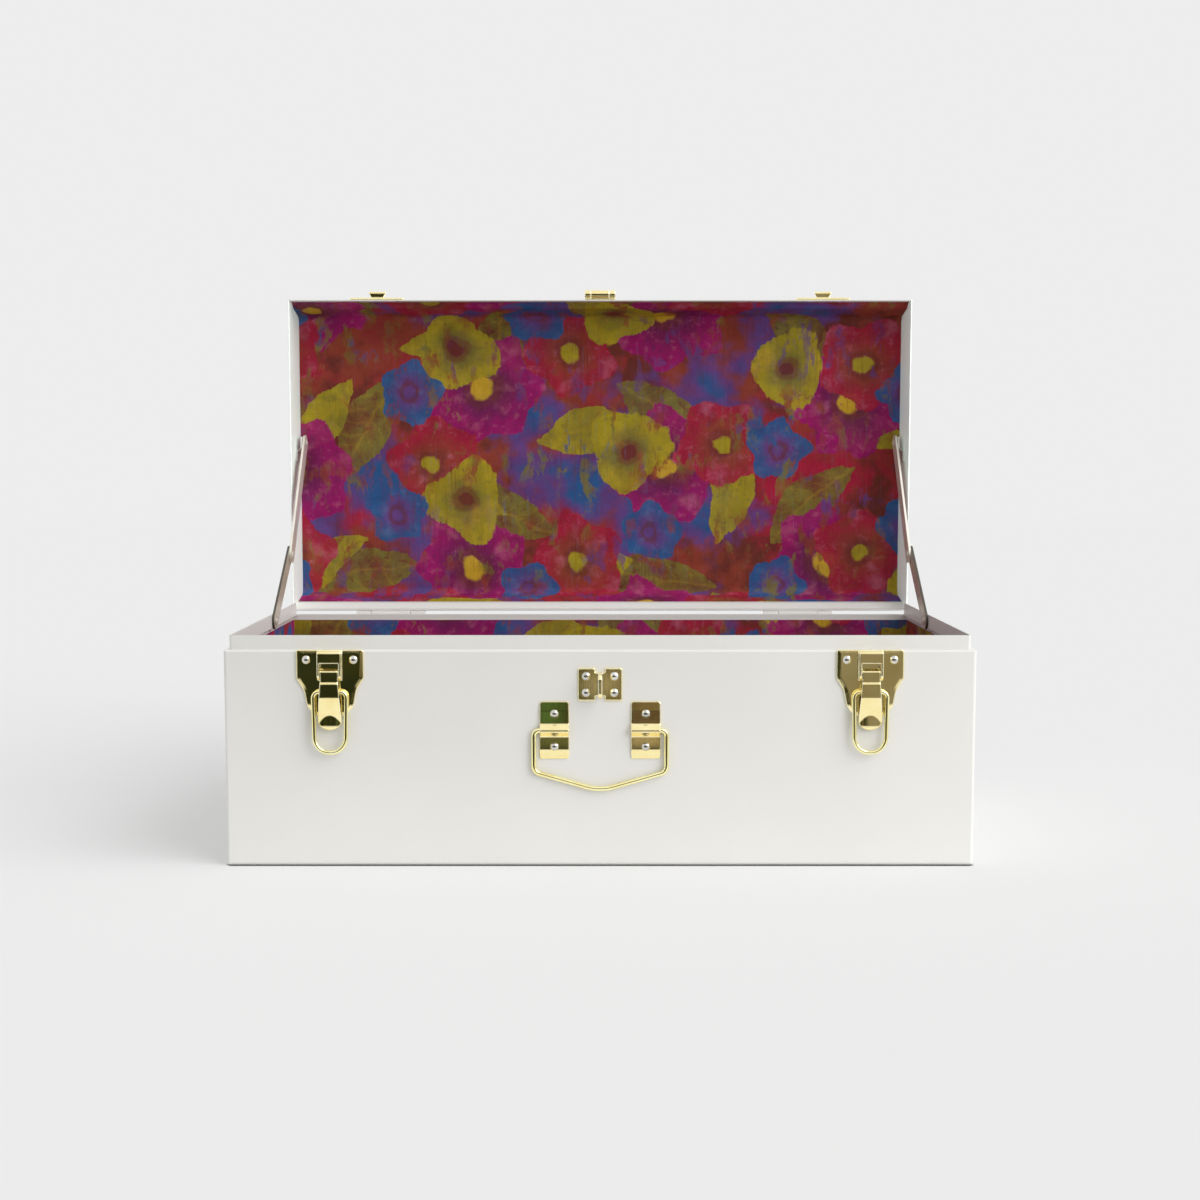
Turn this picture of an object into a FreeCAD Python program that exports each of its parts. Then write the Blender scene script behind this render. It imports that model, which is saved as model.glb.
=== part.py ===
import FreeCAD, Part
import math
import os

# Storage trunk of painted sheet steel with brass hardware, shown with its lid open.
# Millimetres. Origin at the centre of the underside, +X to the right seen from the front,
# +Y towards the back, +Z up. The lid is drawn shut and then swung open about its hinge.

# Body of the trunk
body_width = 600.0
body_depth = 300.0
body_height = 174.5
sheet = 1.0
lip_height = 11.5
lip_inset = 3.9
lip_back_gap = 5.0
corner_radius = 2.5
bottom_radius = 3.0
shoulder_radius = 1.8
bottom_flange = 12.0
floor_edge_gap = 0.5

# Lid
lid_height = 51.0
lid_gap = 0.5
skirt_height = 13.0
skirt_step_height = 7.0
skirt_step = 5.0
lid_wall_lean = 6.5
lid_bend_radius = 10.0
skirt_bend_radius = 3.0
lid_open_angle = 90.0

# Printed lining
lining = 0.6
lining_below_shoulder = 5.5
lid_lining_side_gap = 0.5
lid_lining_front_start = 11.5
lid_lining_back_start = 23.8

# Rivets
rivet_head_radius = 3.4
rivet_head_height = 1.9
lid_rivet_head_height = 0.6
rivet_shank_radius = 1.6
shank_clearance = 0.05

# Latches
latch_from_end = 85.0
latch_top_above_shoulder = 0.5
latch_half_width = 26.75
latch_waist_half_width = 20.8
latch_tail_half_width = 18.6
latch_toe_half_width = 12.5
latch_straight = 23.0
latch_waist = 32.5
latch_tail = 45.0
latch_height = 53.0
latch_thickness = 2.2
latch_bevel_width = 3.0
latch_bevel_height = 0.7
latch_rivet_x = 18.75
latch_rivet_drop = 8.0
housing_half_width = 9.45
housing_wall = 1.85
housing_height = 24.0
housing_reach = 8.0
housing_top_drop = 0.9
bridge_height = 9.6
bridge_sheet = 1.3

# Latch lever and its wire loop
lever_pivot_drop = 18.0
lever_pivot_reach = 5.2
lever_barrel_radius = 2.6
lever_pin_radius = 1.25
lever_sheet = 1.3
lever_half_width = 7.15
lever_tip_half_width = 9.3
lever_tip_straight = 2.5
lever_tip_radius = 10.6
lever_length = 46.2
lever_bulge = 1.0
lever_tip_reach = 4.6
lever_step_drop = 7.6
lever_slope_drop = 19.5
lever_tip_drop = 41.5
flange_drop = 19.0
flange_back_gap = 0.5
thumb_face_reach = 6.0
thumb_bow_radius = 32.0
thumb_rim_radius = 16.0
thumb_rim_above_tip = 3.1
thumb_lip_spread = 1.9
loop_drop = 15.3
loop_wire_radius = 1.75
loop_half_width = 13.2
loop_end_half_width = 12.3
loop_length = 48.85
loop_top_bend = 5.0
loop_end_bend = 12.0
pivot_clearance = 0.05

# Catches on the lid
catch_half_width = 26.4
catch_above_rim = 1.2
catch_height = 11.0
catch_thickness = 2.4
catch_bevel_width = 1.6
catch_bevel_height = 1.2
catch_rivet_x = 19.0
hook_root_half_width = 5.7
hook_end_half_width = 8.9
hook_reach = 8.6
hook_sheet = 1.3
hook_above_rim = 6.5
hook_lip_height = 5.6

# Padlock staple in the middle of the front
staple_half_width = 17.65
staple_half_height = 13.2
staple_waist_half_width = 4.0
staple_waist_half_height = 9.65
staple_below_shoulder = 27.4
staple_thickness = 1.5
staple_bevel = 0.6
staple_rivet_x = 11.25
staple_rivet_z = 6.65
fin_half_thickness = 1.4
fin_reach = 17.4
fin_corner_radius = 5.0
padlock_hole_radius = 3.0
padlock_hole_reach = 11.8

# Hasp on the lid
hasp_half_width = 14.7
hasp_leaf_thickness = 1.5
hasp_axis_reach = 5.6
hasp_axis_above_rim = 4.3
hasp_barrel_radius = 4.0
hasp_pin_radius = 1.5
hasp_middle_half_width = 8.7
hasp_knuckle_gap = 0.3
hasp_flap_length = 46.0
hasp_flap_half_width = 7.4
hasp_flap_thickness = 1.6
hasp_slot_half_width = 3.0
hasp_slot_length = 22.5
hasp_rivet_x = 10.6
hasp_rivet_above_axis = 6.0

# Carrying handle
handle_below_shoulder = 64.2
handle_axis_reach = 2.35
handle_wire_radius = 2.0
handle_half_width = 53.0
handle_side_length = 33.6
handle_drop = 48.7
handle_end_x = 26.0
handle_top_bend = 4.5
handle_side_bend = 6.0
handle_middle_bend = 40.0
handle_plate_x = 36.5
handle_plate_half_width = 11.7
handle_plate_half_height = 23.25
handle_plate_thickness = 1.6
handle_plate_edge = 0.7
handle_plate_bevel = 7.5
handle_channel_wall = 1.7
handle_ridge_half_height = 5.0
handle_crest_half_height = 1.0
handle_rivet_z = 13.25

# Hinges on the back
hinge_from_left_end = 96.0
hinge_from_right_end = 107.0
hinge_half_length = 33.3
hinge_axis_behind = 3.0
hinge_barrel_radius = 2.75
hinge_pin_radius = 1.2
hinge_middle_half_length = 18.9
hinge_knuckle_gap = 0.3
hinge_leaf_thickness = 1.2
hinge_leaf_height = 11.0
hinge_notch = 3.4
hinge_rivet_x = 24.0
hinge_rivet_reach = 7.4
hinge_rivet_head_radius = 2.2
hinge_rivet_head_height = 1.0
hinge_rivet_shank_radius = 1.1

# Folding stays between the lid and the ends of the body, measured from the hinge axis
stay_base_pivot_y = -122.0
stay_base_pivot_z = 5.5
stay_elbow_y = -47.0
stay_elbow_z = 61.0
stay_lid_pivot_y = 34.0
stay_lid_pivot_z = 166.0
stay_sheet = 2.0
stay_half_width = 8.0
stay_gap = 0.3
stay_pin_radius = 2.0
stay_head_radius = 3.8
stay_head_height = 1.4
bracket_sheet = 1.5
bracket_half_depth = 10.0
bracket_pad_end = 6.5
bracket_web_start = 4.0
bracket_web_run = 4.2
bracket_flange_end = 18.0

# Positions worked out from the sizes above
front_y = -body_depth / 2
back_y = body_depth / 2
half_width = body_width / 2
rim_z = body_height + lid_gap
lip_top = body_height + lip_height
latch_x = half_width - latch_from_end
staple_above_base = body_height - staple_below_shoulder
handle_axis_z = body_height - handle_below_shoulder
hinge_centres = (hinge_from_left_end - half_width, half_width - hinge_from_right_end)
hinge_y = back_y + hinge_axis_behind
hinge_z = body_height


def in_xz(y):
    return lambda a, b: FreeCAD.Vector(a, y, b)


def in_yz(x):
    return lambda a, b: FreeCAD.Vector(x, a, b)


def in_xy(z):
    return lambda a, b: FreeCAD.Vector(a, b, z)


def face_side(x):
    # Side view of front hardware: reach out from the front face, then height.
    return lambda reach, z: FreeCAD.Vector(x, front_y - reach, z)


def unit(ax, ay, bx, by):
    length = math.hypot(bx - ax, by - ay)
    return (bx - ax) / length, (by - ay) / length


def rounded_edges(corners, place, closed):
    # Lines and arcs through corners given as (a, b, radius).
    count = len(corners)
    stops = []
    for i, (a, b, radius) in enumerate(corners):
        is_end = not closed and i in (0, count - 1)
        if radius <= 0 or is_end:
            stops.append(((a, b), None, (a, b)))
            continue
        before = corners[i - 1]
        after = corners[(i + 1) % count]
        ux, uy = unit(a, b, before[0], before[1])
        wx, wy = unit(a, b, after[0], after[1])
        half = math.acos(max(-1.0, min(1.0, ux * wx + uy * wy))) / 2
        reach = radius / math.tan(half)
        mx, my = unit(0, 0, ux + wx, uy + wy)
        middle = radius / math.sin(half) - radius
        stops.append(((a + ux * reach, b + uy * reach),
                      (a + mx * middle, b + my * middle),
                      (a + wx * reach, b + wy * reach)))
    edges = []
    for i in range(count):
        start, middle, finish = stops[i]
        if middle is not None:
            edges.append(Part.Arc(place(*start), place(*middle), place(*finish)).toShape())
        if i == count - 1 and not closed:
            break
        following = stops[(i + 1) % count][0]
        if math.hypot(following[0] - finish[0], following[1] - finish[1]) > 1e-6:
            edges.append(Part.LineSegment(place(*finish), place(*following)).toShape())
    return edges


def outline(corners, place):
    return Part.Wire(rounded_edges(corners, place, True))


def prism(corners, place, direction):
    return Part.Face(outline(corners, place)).extrude(direction)


def inset_corners(corners, distance, least_radius=0.2):
    # The same closed outline moved inwards, with as many corners as before.
    area = 0.0
    count = len(corners)
    for i in range(count):
        a, b = corners[i][:2]
        c, d = corners[(i + 1) % count][:2]
        area += a * d - c * b
    turn = 1.0 if area > 0 else -1.0
    moved = []
    for i in range(count):
        a, b, radius = corners[i]
        ux, uy = unit(corners[i - 1][0], corners[i - 1][1], a, b)
        after = corners[(i + 1) % count]
        wx, wy = unit(a, b, after[0], after[1])
        nx, ny = -uy * turn, ux * turn
        mx, my = -wy * turn, wx * turn
        scale = distance / (1.0 + nx * mx + ny * my)
        convex = (ux * wy - uy * wx) * turn > 0
        new_radius = radius - distance if convex else radius + distance
        if radius > 0:
            new_radius = max(new_radius, least_radius)
        else:
            new_radius = 0.0
        moved.append((a + (nx + mx) * scale, b + (ny + my) * scale, new_radius))
    return moved


def mirrored_outline(half_corners, centre_x=0.0):
    # A closed outline from its right half, listed from top to bottom.
    right = [(centre_x + a, b, r) for a, b, r in half_corners]
    left = [(centre_x - a, b, r) for a, b, r in reversed(half_corners)]
    return right + left


def block(x0, x1, y0, y1, z0, z1):
    return Part.makeBox(x1 - x0, y1 - y0, z1 - z0, FreeCAD.Vector(x0, y0, z0))


def rod_x(radius, x0, x1, y, z):
    return Part.makeCylinder(radius, x1 - x0, FreeCAD.Vector(x0, y, z), FreeCAD.Vector(1, 0, 0))


def rod_y(radius, y0, y1, x, z):
    return Part.makeCylinder(radius, y1 - y0, FreeCAD.Vector(x, y0, z), FreeCAD.Vector(0, 1, 0))


def fused(shapes):
    return shapes[0].multiFuse(shapes[1:]).removeSplitter()


def mirrored(shape):
    return shape.mirror(FreeCAD.Vector(0, 0, 0), FreeCAD.Vector(1, 0, 0))


def moved_x(shape, x):
    copy = shape.copy()
    copy.translate(FreeCAD.Vector(x, 0, 0))
    return copy


def swung_open(shape):
    # From the shut lid to the open one.
    copy = shape.copy()
    copy.rotate(FreeCAD.Vector(0, hinge_y, hinge_z), FreeCAD.Vector(1, 0, 0), -lid_open_angle)
    return copy


def bevelled_plate(corners, reach, thickness, bevel_width, bevel_height):
    # Pressed plate on the front: a straight edge, then a bevel up to a smaller face.
    edge = thickness - bevel_height
    base = prism(corners, in_xz(front_y - reach), FreeCAD.Vector(0, -edge, 0))
    lower = outline(corners, in_xz(front_y - reach - edge))
    upper = outline(inset_corners(corners, bevel_width), in_xz(front_y - reach - thickness))
    crown = Part.makeLoft([lower, upper], True, True)
    return fused([base, crown])


def rivet(head_radius, head_height, shank_radius, shank_length):
    # Domed head on top of z = 0 with its shank below.
    ball_radius = (head_radius ** 2 + head_height ** 2) / (2 * head_height)
    ball = Part.makeSphere(ball_radius, FreeCAD.Vector(0, 0, head_height - ball_radius))
    dome = ball.common(Part.makeCylinder(head_radius, head_height))
    shank = Part.makeCylinder(shank_radius, shank_length, FreeCAD.Vector(0, 0, -shank_length))
    return fused([dome, shank])


def front_rivet(x, z, reach, head_height=rivet_head_height):
    # Rivet through a plate of the front hardware and the steel behind it.
    piece = rivet(rivet_head_radius, head_height, rivet_shank_radius, reach + sheet)
    piece.rotate(FreeCAD.Vector(0, 0, 0), FreeCAD.Vector(1, 0, 0), 90)
    piece.translate(FreeCAD.Vector(x, front_y - reach, z))
    return piece


def front_holes(spots, depth_reach):
    radius = rivet_shank_radius + shank_clearance
    return [rod_y(radius, front_y - depth_reach, front_y + 2 * sheet, x, z) for x, z in spots]


def with_holes(shape, holes):
    return shape.cut(holes[0].multiFuse(holes[1:]) if len(holes) > 1 else holes[0])


def wire_piece(corners, place, radius, closed):
    # Round wire bent along lines and arcs.
    path = Part.Wire(rounded_edges(corners, place, closed))
    first = path.Edges[0]
    start = first.valueAt(first.FirstParameter)
    along = first.tangentAt(first.FirstParameter)
    section = Part.Wire(Part.makeCircle(radius, start, along))
    return path.makePipeShell([section], True, False)


def tub(inset, bottom, top, rounded_shoulder):
    # Box with bent bottom edges, narrow upright corners and, if asked, a rounded shoulder.
    x = half_width - inset
    y0 = front_y + inset
    y1 = back_y - inset
    low = bottom_radius - inset
    high = shoulder_radius if rounded_shoulder else 0.0
    corner = max(corner_radius - inset, 0.3)
    across = [(-x, bottom, low), (x, bottom, low), (x, top, high), (-x, top, high)]
    along = [(y0, bottom, low), (y1, bottom, low), (y1, top, 0.0), (y0, top, high)]
    plan = [(-x, y0, corner), (x, y0, corner), (x, y1, corner), (-x, y1, corner)]
    width_prism = prism(across, in_xz(y0), FreeCAD.Vector(0, y1 - y0, 0))
    depth_prism = prism(along, in_yz(-x), FreeCAD.Vector(2 * x, 0, 0))
    plan_prism = prism(plan, in_xy(bottom), FreeCAD.Vector(0, 0, top - bottom))
    return width_prism.common(depth_prism).common(plan_prism)


def lip_prism(inset, back, bottom, top):
    x = half_width - inset
    y0 = front_y + inset
    corner = max(corner_radius - (inset - lip_inset), 0.3)
    plan = [(-x, y0, corner), (x, y0, corner), (x, back, 0.0), (-x, back, 0.0)]
    return prism(plan, in_xy(bottom), FreeCAD.Vector(0, 0, top - bottom))


# Places of the front rivets
latch_top = body_height + latch_top_above_shoulder
latch_rivet_spots = [(side * latch_x + step * latch_rivet_x, latch_top - latch_rivet_drop)
                     for side in (-1, 1) for step in (-1, 1)]
handle_rivet_spots = [(side * handle_plate_x, handle_axis_z + step * handle_rivet_z)
                      for side in (-1, 1) for step in (-1, 1)]
staple_rivet_spots = [(side * staple_rivet_x, staple_above_base + step * staple_rivet_z)
                      for side in (-1, 1) for step in (-1, 1)]
body_rivet_spots = latch_rivet_spots + handle_rivet_spots + staple_rivet_spots

catch_bottom = rim_z + catch_above_rim
catch_middle = catch_bottom + catch_height / 2
catch_rivet_spots = [(side * latch_x + step * catch_rivet_x, catch_middle)
                     for side in (-1, 1) for step in (-1, 1)]
hasp_axis_z = rim_z + hasp_axis_above_rim
hasp_rivet_height = hasp_axis_z + hasp_rivet_above_axis
hasp_rivet_spots = [(side * hasp_rivet_x, hasp_rivet_height) for side in (-1, 1)]

hinge_rivet_x_places = [centre + side * hinge_rivet_x for centre in hinge_centres for side in (-1, 1)]

# Stay pivots in the open position, and the lid pivot with the lid shut
base_pivot = (hinge_y + stay_base_pivot_y, hinge_z + stay_base_pivot_z)
elbow = (hinge_y + stay_elbow_y, hinge_z + stay_elbow_z)
lid_pivot = (hinge_y + stay_lid_pivot_y, hinge_z + stay_lid_pivot_z)
shut_lid_pivot = (hinge_y - stay_lid_pivot_z, hinge_z + stay_lid_pivot_y)
lip_inner_x = half_width - lip_inset - sheet
lower_link_x = lip_inner_x - stay_gap
upper_link_x = lower_link_x - stay_sheet - stay_gap


def make_base_walls():
    # One band of sheet steel: walls, turned-in bottom flange, shoulder and raised lip.
    shell = tub(0.0, 0.0, body_height, True)
    lip = lip_prism(lip_inset, back_y - lip_back_gap, body_height - sheet, lip_top)
    hollow = tub(sheet, sheet, body_height - sheet, False)
    mouth = lip_prism(lip_inset + sheet, back_y - sheet, body_height - 2 * sheet, lip_top + sheet)
    rim = bottom_radius + bottom_flange
    opening = block(rim - half_width, half_width - rim, front_y + rim, back_y - rim, -sheet, 2 * sheet)
    walls = fused([shell, lip]).cut(hollow).cut(mouth).cut(opening)
    holes = front_holes(body_rivet_spots, sheet)
    back_holes = [rod_y(hinge_rivet_shank_radius + shank_clearance, back_y - 2 * sheet, back_y + sheet,
                        x, hinge_z - hinge_rivet_reach) for x in hinge_rivet_x_places]
    stud_radius = stay_pin_radius + shank_clearance
    stud_holes = [rod_x(stud_radius, side * (half_width - lip_inset) - 3 * sheet,
                        side * (half_width - lip_inset) + 3 * sheet, *base_pivot) for side in (-1, 1)]
    return with_holes(walls, holes + back_holes + stud_holes)


def make_base_floor():
    # Floor panel: its edge lies on the turned-in flange, its middle drops flush with it.
    reach = bottom_radius + floor_edge_gap
    rim = bottom_radius + bottom_flange + floor_edge_gap
    x, y = half_width - reach, back_y - reach
    inner_x, inner_y = half_width - rim, back_y - rim
    edge = block(-x, x, -y, y, sheet, 2 * sheet)
    recess = block(sheet - inner_x, inner_x - sheet, sheet - inner_y, inner_y - sheet, sheet, 2 * sheet)
    middle = block(-inner_x, inner_x, -inner_y, inner_y, 0, sheet)
    return fused([edge.cut(recess), middle])


def make_base_lining():
    top = body_height - lining_below_shoulder
    bottom = 2 * sheet
    outside = tub(sheet, bottom, top, False)
    inside = tub(sheet + lining, bottom + lining, top + sheet, False)
    return outside.cut(inside)


def lid_section():
    # Shut lid seen from the end: upright skirt, step, leaning wall and flat top.
    y = body_depth / 2
    top = rim_z + lid_height
    step_y = y - skirt_step
    crown_y = step_y - lid_wall_lean
    step_z = rim_z + skirt_height
    lean_z = step_z + skirt_step_height
    right = [(y, rim_z, 0.0), (y, step_z, skirt_bend_radius), (step_y, lean_z, skirt_bend_radius),
             (crown_y, top, lid_bend_radius)]
    left = [(-a, b, r) for a, b, r in reversed(right)]
    return right + left


def opened_section(distance, foot):
    # The lid's section moved inwards, with its mouth carried down to the given height.
    corners = inset_corners(lid_section(), distance)
    corners[0] = (corners[0][0], foot, 0.0)
    corners[-1] = (corners[-1][0], foot, 0.0)
    return corners


def make_lid_shell():
    x = half_width - sheet
    along = FreeCAD.Vector(2 * x, 0, 0)
    outside = prism(lid_section(), in_yz(-x), along)
    inside = prism(opened_section(sheet, rim_z - sheet), in_yz(-x), along)
    shell = outside.cut(inside)
    holes = front_holes(catch_rivet_spots + hasp_rivet_spots, sheet)
    back_holes = [rod_y(hinge_rivet_shank_radius + shank_clearance, back_y - 2 * sheet, back_y + sheet,
                        place, hinge_z + hinge_rivet_reach) for place in hinge_rivet_x_places]
    return swung_open(with_holes(shell, holes + back_holes))


def make_lid_end(side):
    plate = prism(lid_section(), in_yz(half_width - sheet), FreeCAD.Vector(sheet, 0, 0))
    return swung_open(plate if side > 0 else mirrored(plate))


def make_lid_lining():
    x = half_width - sheet - lid_lining_side_gap
    along = FreeCAD.Vector(2 * x, 0, 0)
    foot = rim_z + lid_lining_front_start
    outside = prism(opened_section(sheet, foot), in_yz(-x), along)
    inside = prism(opened_section(sheet + lining, foot - lining), in_yz(-x), along)
    bare_back = block(-half_width, half_width, 0, back_y, rim_z, rim_z + lid_lining_back_start)
    return swung_open(outside.cut(inside).cut(bare_back))


def latch_outline(centre_x):
    top = latch_top
    half = [(latch_half_width, top, 2.0),
            (latch_half_width, top - latch_straight, 5.0),
            (latch_waist_half_width, top - latch_waist, 18.0),
            (latch_tail_half_width, top - latch_tail, 9.0),
            (latch_toe_half_width, top - latch_height, 5.0)]
    return mirrored_outline(half, centre_x)


def make_latch_plate(centre_x):
    # Pressed plate with a raised bridge and two ears that carry the lever's pin.
    outline = latch_outline(centre_x)
    plate = bevelled_plate(outline, 0.0, latch_thickness, latch_bevel_width, latch_bevel_height)
    top = latch_top - housing_top_drop
    foot = latch_top - housing_height
    bend = 2.2
    side_view = [(0.0, top, 0.0), (housing_reach, top, bend),
                 (housing_reach, foot, 2 * bend), (0.0, foot, 0.0)]
    width = FreeCAD.Vector(2 * housing_half_width, 0, 0)
    housing = prism(side_view, face_side(centre_x - housing_half_width), width)
    inner = housing_half_width - housing_wall
    bridge_foot = top - bridge_height
    under_bridge = block(centre_x - inner, centre_x + inner, front_y - housing_reach + bridge_sheet,
                         front_y - latch_thickness, foot - sheet, top - bridge_sheet)
    mouth = block(centre_x - inner, centre_x + inner, front_y - housing_reach - sheet,
                  front_y - latch_thickness, foot - sheet, bridge_foot)
    housing = housing.cut(under_bridge).cut(mouth)
    pin_hole = rod_x(lever_pin_radius + shank_clearance, centre_x - latch_half_width,
                     centre_x + latch_half_width, front_y - lever_pivot_reach, latch_top - lever_pivot_drop)
    spots = [spot for spot in latch_rivet_spots if abs(spot[0] - centre_x) < latch_half_width]
    return with_holes(fused([plate, housing]).cut(pin_hole), front_holes(spots, 2 * latch_thickness))


def make_lever_pin(centre_x):
    return rod_x(lever_pin_radius, centre_x - housing_half_width, centre_x + housing_half_width,
                 front_y - lever_pivot_reach, latch_top - lever_pivot_drop)


def make_lever(centre_x):
    # Bent sheet lever: a web with a bulge for the loop, two flanges and a bowed half-moon thumb pad.
    pivot = latch_top - lever_pivot_drop
    reach = lever_pivot_reach
    front = reach + lever_barrel_radius
    bulge = front + lever_bulge
    tip = pivot - lever_length
    face = [(front, pivot + lever_barrel_radius, 0.0), (front, pivot - lever_step_drop, 1.0),
            (bulge, pivot - lever_step_drop - lever_bulge, 1.0), (bulge, pivot - lever_slope_drop, 4.0),
            (lever_tip_reach, pivot - lever_tip_drop, 6.0), (lever_tip_reach, tip, 0.0)]
    back = [(a - lever_sheet, b, max(r - 0.5, 0.0)) for a, b, r in reversed(face)]
    wide = 2 * lever_tip_half_width
    web = prism(face + back, face_side(centre_x - wide), FreeCAD.Vector(2 * wide, 0, 0))
    half = [(lever_half_width, pivot + lever_barrel_radius, 0.0),
            (lever_half_width, pivot - lever_step_drop, 20.0),
            (lever_tip_half_width, tip + lever_tip_half_width + lever_tip_straight, 12.0),
            (lever_tip_half_width, tip, 0.0)]
    through = FreeCAD.Vector(0, 5 * reach, 0)
    front_view = prism(mirrored_outline(half, centre_x), in_xz(front_y - 4 * reach), through)
    tip_disc = rod_y(lever_tip_radius, front_y - 4 * reach, front_y + reach, centre_x, tip + lever_tip_radius)
    above_tip = block(centre_x - wide, centre_x + wide, front_y - 4 * reach, front_y + reach,
                      tip + lever_tip_radius, pivot + lever_barrel_radius)
    front_view = front_view.common(fused([tip_disc, above_tip]))
    web = web.common(front_view)
    slope = (lever_tip_drop - lever_slope_drop) / (bulge - lever_tip_reach)
    pad_top = pivot - lever_slope_drop - slope * (bulge - thumb_face_reach)
    core = lever_sheet / 2
    pad_view = [(thumb_face_reach, pad_top, 0.0), (thumb_face_reach, tip, 0.0),
                (lever_tip_reach - core, tip, 0.0), (lever_tip_reach - core, pivot - lever_tip_drop, 0.0),
                (thumb_face_reach - core, pad_top, 0.0)]
    pad = prism(pad_view, face_side(centre_x - wide), FreeCAD.Vector(2 * wide, 0, 0))
    pad_front = front_y - thumb_face_reach
    bow_axis = FreeCAD.Vector(centre_x, pad_front + thumb_bow_radius, tip)
    bow = Part.makeCylinder(thumb_bow_radius, pad_top - tip, bow_axis)
    lip_centre = FreeCAD.Vector(centre_x, pad_front, tip + thumb_rim_above_tip + thumb_rim_radius)
    lip_end_radius = thumb_rim_radius + thumb_lip_spread * thumb_face_reach
    inwards = FreeCAD.Vector(0, 1, 0)
    lip = Part.makeCone(thumb_rim_radius, lip_end_radius, thumb_face_reach, lip_centre, inwards)
    pad = pad.common(bow).common(lip).common(front_view)
    flange_back = latch_thickness + flange_back_gap
    flange_foot = pivot - flange_drop
    flange_view = [(front, pivot, 0.0), (front, flange_foot, 0.0), (flange_back, flange_foot, 1.5),
                   (flange_back, pivot, 0.0)]
    barrel_end = rod_x(lever_barrel_radius, 0, lever_sheet, front_y - reach, pivot)
    flange_plate = prism(flange_view, face_side(0), FreeCAD.Vector(lever_sheet, 0, 0))
    flange = fused([flange_plate, barrel_end])
    flanges = [moved_x(flange, centre_x - lever_half_width),
               moved_x(flange, centre_x + lever_half_width - lever_sheet)]
    above_barrel = block(centre_x - wide, centre_x + wide, front_y - 3 * reach, front_y - reach,
                         pivot, pivot + 2 * lever_barrel_radius)
    round_top = rod_x(lever_barrel_radius, centre_x - wide, centre_x + wide, front_y - reach, pivot)
    web = web.cut(above_barrel.cut(round_top))
    lever = fused([web, pad] + flanges)
    pin_hole = rod_x(lever_pin_radius + pivot_clearance, centre_x - wide, centre_x + wide,
                     front_y - reach, pivot)
    wire_hole = rod_x(loop_wire_radius + pivot_clearance, centre_x - wide, centre_x + wide,
                      front_y - reach, pivot - loop_drop)
    return lever.cut(pin_hole).cut(wire_hole)


def make_loop(centre_x):
    # Closed wire loop that hangs from the lever and reaches up to the catch.
    top = latch_top - lever_pivot_drop - loop_drop
    foot = top - loop_length
    half = [(loop_half_width, top, loop_top_bend), (loop_end_half_width, foot, loop_end_bend)]
    outline = mirrored_outline(half, centre_x)
    return wire_piece(outline, in_xz(front_y - lever_pivot_reach), loop_wire_radius, True)


def make_catch(centre_x):
    # Plate on the lid's skirt with a flared shelf and an upturned lip for the loop.
    half = [(catch_half_width, catch_bottom + catch_height, 2.0), (catch_half_width, catch_bottom, 2.0)]
    plate = bevelled_plate(mirrored_outline(half, centre_x), 0.0, catch_thickness,
                           catch_bevel_width, catch_bevel_height)
    shelf_z = rim_z + hook_above_rim
    shelf_view = [(centre_x + hook_root_half_width, front_y - sheet, 0.0),
                  (centre_x + hook_root_half_width, front_y - catch_thickness, 1.0),
                  (centre_x + hook_end_half_width, front_y - hook_reach, 1.0),
                  (centre_x - hook_end_half_width, front_y - hook_reach, 1.0),
                  (centre_x - hook_root_half_width, front_y - catch_thickness, 1.0),
                  (centre_x - hook_root_half_width, front_y - sheet, 0.0)]
    hook_view = [(catch_thickness / 2, shelf_z, 0.0), (hook_reach, shelf_z, hook_sheet + 0.5),
                 (hook_reach, shelf_z + hook_lip_height, 0.6),
                 (hook_reach - hook_sheet, shelf_z + hook_lip_height, 0.0),
                 (hook_reach - hook_sheet, shelf_z + hook_sheet, 0.5),
                 (catch_thickness / 2, shelf_z + hook_sheet, 0.0)]
    wide = 2 * hook_end_half_width
    hook = prism(hook_view, face_side(centre_x - wide), FreeCAD.Vector(2 * wide, 0, 0))
    hook = hook.common(prism(shelf_view, in_xy(shelf_z - sheet), FreeCAD.Vector(0, 0, 3 * hook_lip_height)))
    spots = [spot for spot in catch_rivet_spots if abs(spot[0] - centre_x) < catch_half_width]
    return swung_open(with_holes(fused([plate, hook]), front_holes(spots, 2 * catch_thickness)))


def make_staple():
    # Two riveted wings joined by a waist, with a standing fin for the padlock.
    z = staple_above_base
    half = [(staple_half_width, z + staple_half_height, 1.6),
            (staple_half_width, z - staple_half_height, 1.6),
            (staple_waist_half_width, z - staple_half_height, 1.0),
            (staple_waist_half_width, z - staple_waist_half_height, 0.8)]
    waist_top = [(staple_waist_half_width, z + staple_waist_half_height, 0.8),
                 (staple_waist_half_width, z + staple_half_height, 1.0)]
    corners = mirrored_outline(waist_top + half)
    plate = bevelled_plate(corners, 0.0, staple_thickness, staple_bevel, staple_bevel)
    fin_view = [(staple_thickness / 2, z - staple_waist_half_height, 0.0),
                (fin_reach, z - staple_waist_half_height, fin_corner_radius),
                (fin_reach, z + staple_waist_half_height, fin_corner_radius),
                (staple_thickness / 2, z + staple_waist_half_height, 0.0)]
    fin = prism(fin_view, face_side(-fin_half_thickness), FreeCAD.Vector(2 * fin_half_thickness, 0, 0))
    eye = rod_x(padlock_hole_radius, -staple_half_width, staple_half_width, front_y - padlock_hole_reach, z)
    return with_holes(fused([plate, fin.cut(eye)]), front_holes(staple_rivet_spots, 2 * staple_thickness))


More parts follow.
